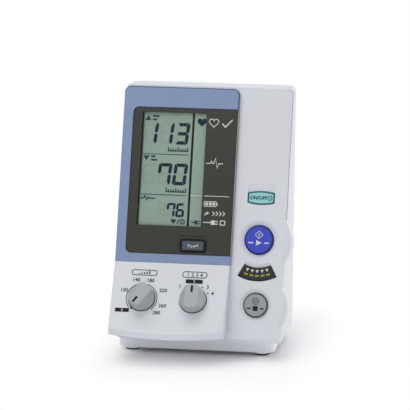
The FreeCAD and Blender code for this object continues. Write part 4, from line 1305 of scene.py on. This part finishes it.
@dataclass
class DialPanel:
    """Prints on the sloping panel round the two knobs, and painted shadow rings round their bases, in places set
    out from their axes.
    """

    ring_radius: float = 12.0
    ring_width: float = 0.55
    tick_length: float = 0.9
    base_shadow_radius: float = 10.4
    base_shadow_width: float = 0.9
    figure_height: float = 3.0
    scale: tuple[tuple[str, float, Point], ...] = (
        ("100", -65.0, (-13.9, 6.4)),
        ("140", -20.0, (-5.4, 15.3)),
        ("180", 25.0, (5.9, 15.1)),
        ("220", 70.0, (16.2, 7.2)),
        ("260", 115.0, (16.6, -5.4)),
        ("280", 137.5, (12.6, -11.3)),
    )
    scale_arc: Point = (-131.0, 137.5)
    rest_dot: Point = (-7.5, -8.5)
    rest_dot_radius: float = 0.75
    box_width: float = 0.6
    bars_box: Sides = (-9.6, 9.9, 19.2, 23.4)
    bars_box_corner: float = 1.7
    bars: int = 5
    bars_left: float = -4.2
    bars_pitch: float = 2.1
    bars_foot: float = 20.1
    bars_first: float = 0.6
    bars_rise: float = 0.5
    bar_width: float = 1.0
    mode_turns: tuple[float, ...] = (-30.0, 0.0, 30.0, 60.0)
    mode_radius: float = 12.7
    mode_dot_radius: float = 0.6
    mode_figures: tuple[tuple[str, Point], ...] = (
        ("1", (-11.2, 11.3)),
        ("3", (10.4, 11.4)),
        ("4", (14.6, 6.4)),
    )
    modes_box: Sides = (-10.0, 9.0, 18.7, 23.4)
    modes_box_corner: float = 2.2
    modes_row: str = "1234"
    modes_row_start: Point = (-5.6, 21.0)
    modes_row_pitch: float = 3.4
    modes_row_height: float = 2.8
    rest_label: DialLabel = DialLabel((-19.8, -8.9), -10.1, 3.2, "0", -14.3, 2.2)
    mode_label: DialLabel = DialLabel((-7.1, 6.1), 15.55, 3.3, "2", -0.5, 2.3)

    def build_scale(self) -> Piece:
        """Make the preset knob's ring, its figures and the outlined box with rising bars.

        Returns:
            The new piece.
        """
        carrier, x = turned_plane("front_cover", "preset_turn", PANEL_LIFT)
        marks = Artwork("preset_scale", carrier, BLACK_INK_AND_PAINTED_SHADE, "casing_plastic")
        axis = (x, 0.0)
        marks.arc(axis, self.ring_radius, self.ring_width, *self.scale_arc)
        outer = self.ring_radius + self.tick_length
        for figures, turn, (dx, v) in self.scale:
            tick = [on_ring(axis, radius, turn) for radius in (self.ring_radius, outer)]
            marks.line(tick, self.ring_width)
            marks.words(figures, (x + dx, v), self.figure_height)
        marks.dot((x + self.rest_dot[0], self.rest_dot[1]), self.rest_dot_radius)
        left, right, low, high = self.bars_box
        marks.frame_box((x + left, x + right, low, high), self.bars_box_corner, self.box_width)
        for bar in range(self.bars):
            top = self.bars_foot + self.bars_first + bar * self.bars_rise
            place = x + self.bars_left + bar * self.bars_pitch
            marks.post(place, self.bars_foot, top, self.bar_width)
        return marks.build()

    def build_modes(self) -> Piece:
        """Make the mode knob's dots and figures and its outlined box.

        Returns:
            The new piece.
        """
        carrier, x = turned_plane("front_cover", "mode_turn", PANEL_LIFT)
        marks = Artwork("mode_marks", carrier, BLACK_INK_AND_PAINTED_SHADE, "casing_plastic")
        for turn in self.mode_turns:
            marks.dot(on_ring((x, 0.0), self.mode_radius, turn), self.mode_dot_radius)
        for figure, (dx, v) in self.mode_figures:
            marks.words(figure, (x + dx, v), self.figure_height)
        left, right, low, high = self.modes_box
        marks.frame_box((x + left, x + right, low, high), self.modes_box_corner, self.box_width)
        dx, v = self.modes_row_start
        for place, figure in enumerate(self.modes_row):
            marks.words(figure, (x + dx + place * self.modes_row_pitch, v), self.modes_row_height)
        return marks.build()

    def build_labels(self) -> list[Piece]:
        """Make the painted shadow rings round the knobs' bases and the two filled labels with a pale figure on
        each.

        Returns:
            The labels with the painted shadow rings, and the figures.
        """
        under, preset_x = turned_plane("front_cover", "preset_turn", PANEL_LIFT)
        over, mode_x = turned_plane("front_cover", "mode_turn", PANEL_OVER_LIFT)
        labels = Artwork("dial_labels_and_painted_shadow_rings", under, BLACK_INK_AND_PAINTED_SHADE, "casing_plastic")
        figures = Artwork("dial_label_figures", over, INK_WHITE, "casing_plastic")
        for x, label in ((preset_x, self.rest_label), (mode_x, self.mode_label)):
            left, right = label.span
            labels.bar(x + left, x + right, label.level, label.height)
            # Painted shadow: a black ring round the knob's base, for the shade under its skirt.
            labels.ring((x, 0.0), self.base_shadow_radius, self.base_shadow_width)
            figures.words(label.figure, (x + label.figure_place, label.level), label.figure_height)
        return [labels.build(), figures.build()]

    def build(self) -> list[Piece]:
        """Make every print on the panel."""
        return [self.build_scale(), self.build_modes(), *self.build_labels()]


@dataclass
class StartKey:
    """The start button's sign, a bar in a diamond over a forward arrow, and a dark blue line of painted shade
    along its rounded rim.
    """

    cap: Carrier = Carrier("start_button", "start_key")
    diamond_rise: float = 3.9
    diamond_half: float = 3.0
    diamond_width: float = 0.5
    bar_half: float = 1.4
    bar_width: float = 0.7
    arrow_drop: float = 2.4
    arrow_span: Point = (-2.1, 2.5)
    arrow_half: float = 2.2
    dash_span: Point = (4.2, 8.0)
    dash_height: float = 1.1
    rim_radius: float = 10.7
    rim_width: float = 0.65

    def build(self) -> list[Piece]:
        """Make the sign and the painted shade along the rim.

        Returns:
            The new pieces.
        """
        x, v = self.cap.middle()
        sign = Artwork("start_sign", self.cap, INK_WHITE, "start_plastic")
        high, half = v + self.diamond_rise, self.diamond_half
        diamond = [(x, high + half), (x + half, high), (x, high - half), (x - half, high)]
        sign.line(diamond, self.diamond_width, closed=True)
        sign.post(x, high - self.bar_half, high + self.bar_half, self.bar_width)
        low = v - self.arrow_drop
        back, tip = (x + place for place in self.arrow_span)
        sign.polygon([(back, low - self.arrow_half), (tip, low), (back, low + self.arrow_half)])
        sign.dashes(x, low, self.dash_span, self.dash_height)
        # Painted shade: a dark blue ring on the cap's rounded edge, for the shade of the gap round the button.
        rim = Artwork("start_rim_painted_shade", self.cap, PAINTED_RIM_SHADE_NAVY, "start_plastic")
        rim.ring((x, v), self.rim_radius, self.rim_width, RIM_STRIPS)
        return [sign.build(), rim.build()]


@dataclass
class StopKey:
    """The stop button's sign, a ring with a notch over a plain square, and a black line of painted shade along its
    rounded rim.
    """

    cap: Carrier = Carrier("stop_button", "stop_key")
    ring_rise: float = 2.8
    ring_radius: float = 2.3
    sign_width: float = 0.5
    notch_half: float = 1.2
    notch_span: Point = (1.9, 3.6)
    square_drop: float = 2.7
    square_half: float = 1.9
    dash_span: Point = (3.6, 6.5)
    dash_height: float = 1.1
    rim_radius: float = 8.87
    rim_width: float = 0.58

    def build(self) -> list[Piece]:
        """Make the sign with the painted shade along the rim.

        Returns:
            The new piece.
        """
        x, v = self.cap.middle()
        sign = Artwork("stop_sign_and_painted_rim_shade", self.cap, BLACK_INK_AND_PAINTED_SHADE, "stop_plastic")
        sign.ring((x, v + self.ring_rise), self.ring_radius, self.sign_width)
        deep, high = (v + place for place in self.notch_span)
        notch = [(x - self.notch_half, high), (x, deep), (x + self.notch_half, high)]
        sign.line(notch, self.sign_width)
        low, half = v - self.square_drop, self.square_half
        sign.block((x - half, x + half, low - half, low + half))
        sign.dashes(x, low, self.dash_span, self.dash_height)
        # Painted shade: a black ring on the cap's rounded edge, for the shade of the gap round the button.
        sign.ring((x, v), self.rim_radius, self.rim_width, RIM_STRIPS)
        return [sign.build()]


@dataclass
class OnOffKey:
    """The words and the sign of the on and off switch, with a dark line of painted shade along the edge of its
    bowed cap.
    """

    cap: Carrier = Carrier("onoff_button", "onoff_key")
    words: str = "ON/OFF"
    words_place: float = -2.0
    words_height: float = 2.8
    words_bold: float = 0.03
    sign_place: float = 6.8
    sign_radius: float = 1.7
    sign_bar_half: float = 0.8
    sign_width: float = 0.5
    rim_half: float = 9.75
    rim_side: float = 3.22
    rim_crest: float = 4.57
    rim_width: float = 0.62
    rim_parts: int = 16

    def build(self) -> list[Piece]:
        """Make the words, the sign and the painted shade along the rim.

        Returns:
            The new piece.
        """
        x, v = self.cap.middle()
        sign = Artwork("onoff_sign_and_painted_rim_shade", self.cap, TEAL_INK_AND_PAINTED_SHADE, "onoff_plastic")
        sign.words(self.words, (x + self.words_place, v), self.words_height, self.words_bold)
        place = x + self.sign_place
        sign.ring((place, v), self.sign_radius, self.sign_width)
        sign.post(place, v - self.sign_bar_half, v + self.sign_bar_half, self.sign_width)
        # Painted shade: a dark teal line on the cap's rounded edge, for the shade of the gap round the button.
        shares = [1 - 2 * part / self.rim_parts for part in range(self.rim_parts + 1)]
        bow = self.rim_crest - self.rim_side
        upper = [(x + self.rim_half * s, v + self.rim_side + bow * (1 - s**2)) for s in shares]
        lower = [(px, 2 * v - py) for px, py in reversed(upper)]
        sign.line(upper + lower, self.rim_width, True, RIM_STRIPS)
        return [sign.build()]


@dataclass
class DeflationKey:
    """The arrows and the dashes of the deflation button, set round the start button's middle."""

    cap: Carrier = Carrier("deflation_button", "deflation_key")
    hub: Carrier = Carrier("start_button", "start_key")
    fan: tuple[int, ...] = (-2, -1, 0, 1, 2)
    fan_turn: float = 9.0
    arrow_radius: float = 24.7
    arrow_reach: float = 1.2
    arrow_half: float = 1.3
    dash_radius: float = 28.0
    dash_turn: float = 3.2
    dash_width: float = 1.4

    def build(self) -> list[Piece]:
        """Make the arrows and the dashes.

        Returns:
            The new pieces.
        """
        hub = self.hub.middle()
        arrows = Artwork("deflation_arrows", self.cap, INK_WHITE, "deflation_plastic")
        dashes = Artwork("deflation_dashes", self.cap, INK_YELLOW, "deflation_plastic")
        for place in self.fan:
            turn = FULL_TURN / 2 - place * self.fan_turn
            base = Vector(on_ring(hub, self.arrow_radius - self.arrow_reach, turn))
            tip = on_ring(hub, self.arrow_radius + self.arrow_reach, turn)
            side = Vector(on_ring((0.0, 0.0), self.arrow_half, turn + QUARTER_TURN))
            arrows.polygon([tuple(base + side), tuple(base - side), tip])
            ends = turn - self.dash_turn, turn + self.dash_turn
            dashes.arc(hub, self.dash_radius, self.dash_width, *ends)
        return [arrows.build(), dashes.build()]


@dataclass
class HideKey:
    """The hide button's closed-eye sign, and black lines of painted shade along its rim and round the well it sits
    in.
    """

    cap: Carrier = Carrier("hide_button", "hide_key")
    window: Carrier = Carrier("display_window", "casing")
    lid_half: float = 4.1
    lid_places: tuple[float, ...] = (-3.0, -2.0, -1.0, 0.0, 1.0, 2.0, 3.0)
    lid_rise: float = 0.9
    lid_depth: float = 1.5
    lid_width: float = 0.7
    lash_places: tuple[float, ...] = (-3.0, -1.1, 1.1, 3.0)
    lash_spread: float = 1.25
    lash_length: float = 1.3
    lash_width: float = 0.6
    rim_half: Point = (8.75, 3.9)
    rim_corner: float = 1.2
    rim_width: float = 0.95
    well_half: Point = (10.0, 5.15)
    well_corner: float = 1.9
    well_width: float = 0.35

    def sides(self, half: Point) -> Sides:
        """Set out a box round the button's middle.

        Args:
            half: Half of the box's width and of its height.

        Returns:
            Left, right, low and high sides.
        """
        x, v = self.cap.middle()
        across, tall = half
        return x - across, x + across, v - tall, v + tall

    def lid_height(self, dx: float) -> float:
        """Give the height of the closed lid at a place across it."""
        return self.lid_rise - self.lid_depth * math.cos(dx / self.lid_half * math.pi / 2)

    def build(self) -> list[Piece]:
        """Make the sign, and the painted shade along the rim and round the well.

        Returns:
            The new pieces.
        """
        x, v = self.cap.middle()
        sign = Artwork("hide_sign", self.cap, INK_WHITE, "hide_plastic")
        places = (-self.lid_half, *self.lid_places, self.lid_half)
        sign.line([(x + dx, v + self.lid_height(dx)) for dx in places], self.lid_width)
        for dx in self.lash_places:
            root = v + self.lid_height(dx)
            lash = [(x + dx, root), (x + dx * self.lash_spread, root - self.lash_length)]
            sign.line(lash, self.lash_width)
        # Painted shade: black lines on the cap's rounded edge and round the well, for the shade in the well.
        rim = Artwork("hide_rim", self.cap, BLACK_INK_AND_PAINTED_SHADE, "hide_plastic")
        rim.frame_box(self.sides(self.rim_half), self.rim_corner, self.rim_width, RIM_STRIPS)
        well = Artwork("hide_well", self.window, BLACK_INK_AND_PAINTED_SHADE, "window_plastic")
        well.frame_box(self.sides(self.well_half), self.well_corner, self.well_width)
        return [sign.build(), rim.build(), well.build()]


@dataclass(frozen=True)
class Lamp:
    """A square soft lamp: its place, side and aim in metres and its power in watts."""

    name: str
    place: tuple[float, float, float]
    size: float
    power: float
    aim: tuple[float, float, float] = (0.0, 0.0, 0.1)

    def build(self) -> Piece:
        """Hang the lamp, facing the object.

        Returns:
            The lamp.
        """
        data = bpy.data.lights.new(self.name, "AREA")
        data.size = self.size
        data.energy = self.power
        lamp = put_in_scene(self.name, data)
        lamp.location = self.place
        lamp.rotation_mode = "QUATERNION"
        lamp.rotation_quaternion = (Vector(self.aim) - Vector(self.place)).to_track_quat("-Z", "Y")
        return lamp


@dataclass
class Studio:
    """Pale floor, soft lamps, white surround and the camera of the photograph.

    Attributes:
        azimuth: Camera's turn to the right.
        elevation: Camera's height above the level.
        distance: From the camera to its aim.
        aim: Point that the camera looks at.
        lens: Focal length.
        sensor: Width of the sensor.
        surround_light: Strength with which the surround lights the object.
        floor_size: Side of the floor, in metres.
        floor_drop: How far the floor lies under the feet.
        floor_fade: Reach of the shadow beyond the plinth, across and along.
        floor_left_inset: How far the shadow is drawn in on the left.
        white: Colour of the surround and of the far floor.
        card: Colour of the floor's card.
        lamps: The soft lamps.
    """

    azimuth: float = 9.49
    elevation: float = 12.93
    distance: float = 2708.5
    aim: tuple[float, float, float] = (-1.53, 0.41, 113.21)
    lens: float = 307.42
    sensor: float = 36.0
    surround_light: float = 0.33
    floor_size: float = 8.0
    floor_drop: float = 0.2
    floor_fade: Point = (43.0, 104.0)
    floor_left_inset: float = 20.0
    white: str = "#FFFFFF"
    card: str = "#FBFBFC"
    lamps: tuple[Lamp, ...] = (
        Lamp("top_softbox", (-0.2, 0.2, 1.5), 1.6, 10.4),
        Lamp("front_fill", (-0.55, -1.0, 1.45), 1.3, 8.2),
        Lamp("low_fill", (0.15, -1.6, 0.1), 0.8, 4.6),
        Lamp("right_wash", (1.7, 1.0, 0.6), 1.4, 21.0),
    )

    def build_camera(self) -> Piece:
        """Set the camera at the photograph's viewing angle.

        Returns:
            The camera.
        """
        turn, rise = math.radians(self.azimuth), math.radians(self.elevation)
        level = math.cos(rise)
        back = Vector((math.sin(turn) * level, -math.cos(turn) * level, math.sin(rise)))
        data = bpy.data.cameras.new("camera")
        data.lens = self.lens
        data.sensor_width = self.sensor
        camera = put_in_scene("camera", data)
        camera.location = (Vector(self.aim) + back * self.distance) * MM
        camera.rotation_mode = "QUATERNION"
        camera.rotation_quaternion = (-back).to_track_quat("-Z", "Y")
        bpy.context.scene.camera = camera
        return camera

    def seen_directly(self, tree: NodeTree) -> NodeSocket:
        """Tell rays that show the surround from rays that only light the object.

        Args:
            tree: Node tree that takes the nodes.

        Returns:
            Socket that is 1 for camera, glossy and transmitted rays.
        """
        path = add_node(tree, "ShaderNodeLightPath")
        seen = path.outputs["Is Camera Ray"]
        for ray in ("Is Glossy Ray", "Is Transmission Ray"):
            links = {0: seen, 1: path.outputs[ray]}
            seen = add_node(tree, "ShaderNodeMath", links, operation="MAXIMUM").outputs[0]
        return seen

    def build_surround(self) -> None:
        """Make a world that shows white and lights the object softly from all round."""
        world = bpy.data.worlds.new("surround")
        world.use_nodes = True
        tree = world.node_tree
        background = tree.nodes["Background"]
        background.inputs["Color"].default_value = linear(self.white)
        links = {"Value": self.seen_directly(tree)}
        values = {"To Min": self.surround_light, "To Max": 1.0}
        strength = add_node(tree, "ShaderNodeMapRange", links, values)
        tree.links.new(strength.outputs[0], background.inputs["Strength"])
        bpy.context.scene.world = world

    def distance_share(self, tree: NodeTree) -> NodeSocket:
        """Measure how far a point of the floor is from the plinth, as a share of the fade.

        Args:
            tree: Node tree that takes the nodes.

        Returns:
            Socket that goes from 0 at the plinth to 1 where the shadow has faded.
        """
        low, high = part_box("plinth")
        low = low + Vector((self.floor_left_inset * MM, 0, 0))
        middle, half = (low + high) / 2, (high - low) / 2
        across, along = (reach * MM for reach in self.floor_fade)
        steps = (
            ("SUBTRACT", (middle.x, middle.y, 1.0)),
            ("ABSOLUTE", (0.0, 0.0, 1.0)),
            ("SUBTRACT", (half.x, half.y, 1.0)),
            ("MAXIMUM", (0.0, 0.0, 1.0)),
            ("DIVIDE", (across, along, 1.0)),
            ("MULTIPLY", (1.0, 1.0, 0.0)),
        )
        place = add_node(tree, "ShaderNodeTexCoord").outputs["Object"]
        for operation, value in steps:
            step = add_node(tree, "ShaderNodeVectorMath", {0: place}, {1: value}, operation=operation)
            place = step.outputs[0]
        apart = add_node(tree, "ShaderNodeVectorMath", {0: place}, operation="LENGTH").outputs["Value"]
        return add_node(tree, "ShaderNodeMapRange", {"Value": apart}).outputs[0]

    def build_floor(self) -> Piece:
        """Make the pale floor, which keeps the shadow near the object and shows white further off.

        Returns:
            The floor.
        """
        # White card, dead flat: it takes the soft shadow and has no gloss.
        material = bpy.data.materials.new("Card matt white")
        material.use_nodes = True
        tree = material.node_tree
        tree.nodes.clear()
        links = {0: self.distance_share(tree), 1: self.seen_directly(tree)}
        share = add_node(tree, "ShaderNodeMath", links, operation="MULTIPLY").outputs[0]
        card = add_node(tree, "ShaderNodeBsdfDiffuse", values={"Color": linear(self.card)})
        white = add_node(tree, "ShaderNodeEmission", values={"Color": linear(self.white)})
        links = {0: share, 1: card.outputs[0], 2: white.outputs[0]}
        mixed = add_node(tree, "ShaderNodeMixShader", links)
        add_node(tree, "ShaderNodeOutputMaterial", {"Surface": mixed.outputs[0]})
        half, level = self.floor_size / 2, -self.floor_drop * MM
        corners = [(x * half, y * half, level) for x, y in ((-1, -1), (1, -1), (1, 1), (-1, 1))]
        mesh = bpy.data.meshes.new("floor")
        mesh.from_pydata(corners, [], [(0, 1, 2, 3)])
        mesh.materials.append(material)
        floor = put_in_scene("floor", mesh)
        return floor

    def build(self) -> list[Piece]:
        """Set up the whole studio.

        Returns:
            The camera, the floor and the lamps.
        """
        bpy.context.scene.view_settings.view_transform = "Standard"
        self.build_surround()
        return [self.build_camera(), self.build_floor(), *(lamp.build() for lamp in self.lamps)]


class Assembly(Protocol):
    """A sub-assembly that builds and dresses its own pieces."""

    def build(self) -> list[Piece]:
        """Build the pieces in order."""


def main() -> None:
    """Build the sub-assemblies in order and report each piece."""
    logging.basicConfig(level=logging.INFO, format="%(name)s: %(message)s")
    assemblies: tuple[Assembly, ...] = (
        Casing(),
        Display(),
        WindowTrim(),
        DialPanel(),
        StartKey(),
        StopKey(),
        OnOffKey(),
        DeflationKey(),
        HideKey(),
        Studio(),
    )
    for assembly in assemblies:
        for piece in assembly.build():
            LOG.info("%s: %s", type(assembly).__name__, piece.name)


if __name__ == "__main__":
    main()
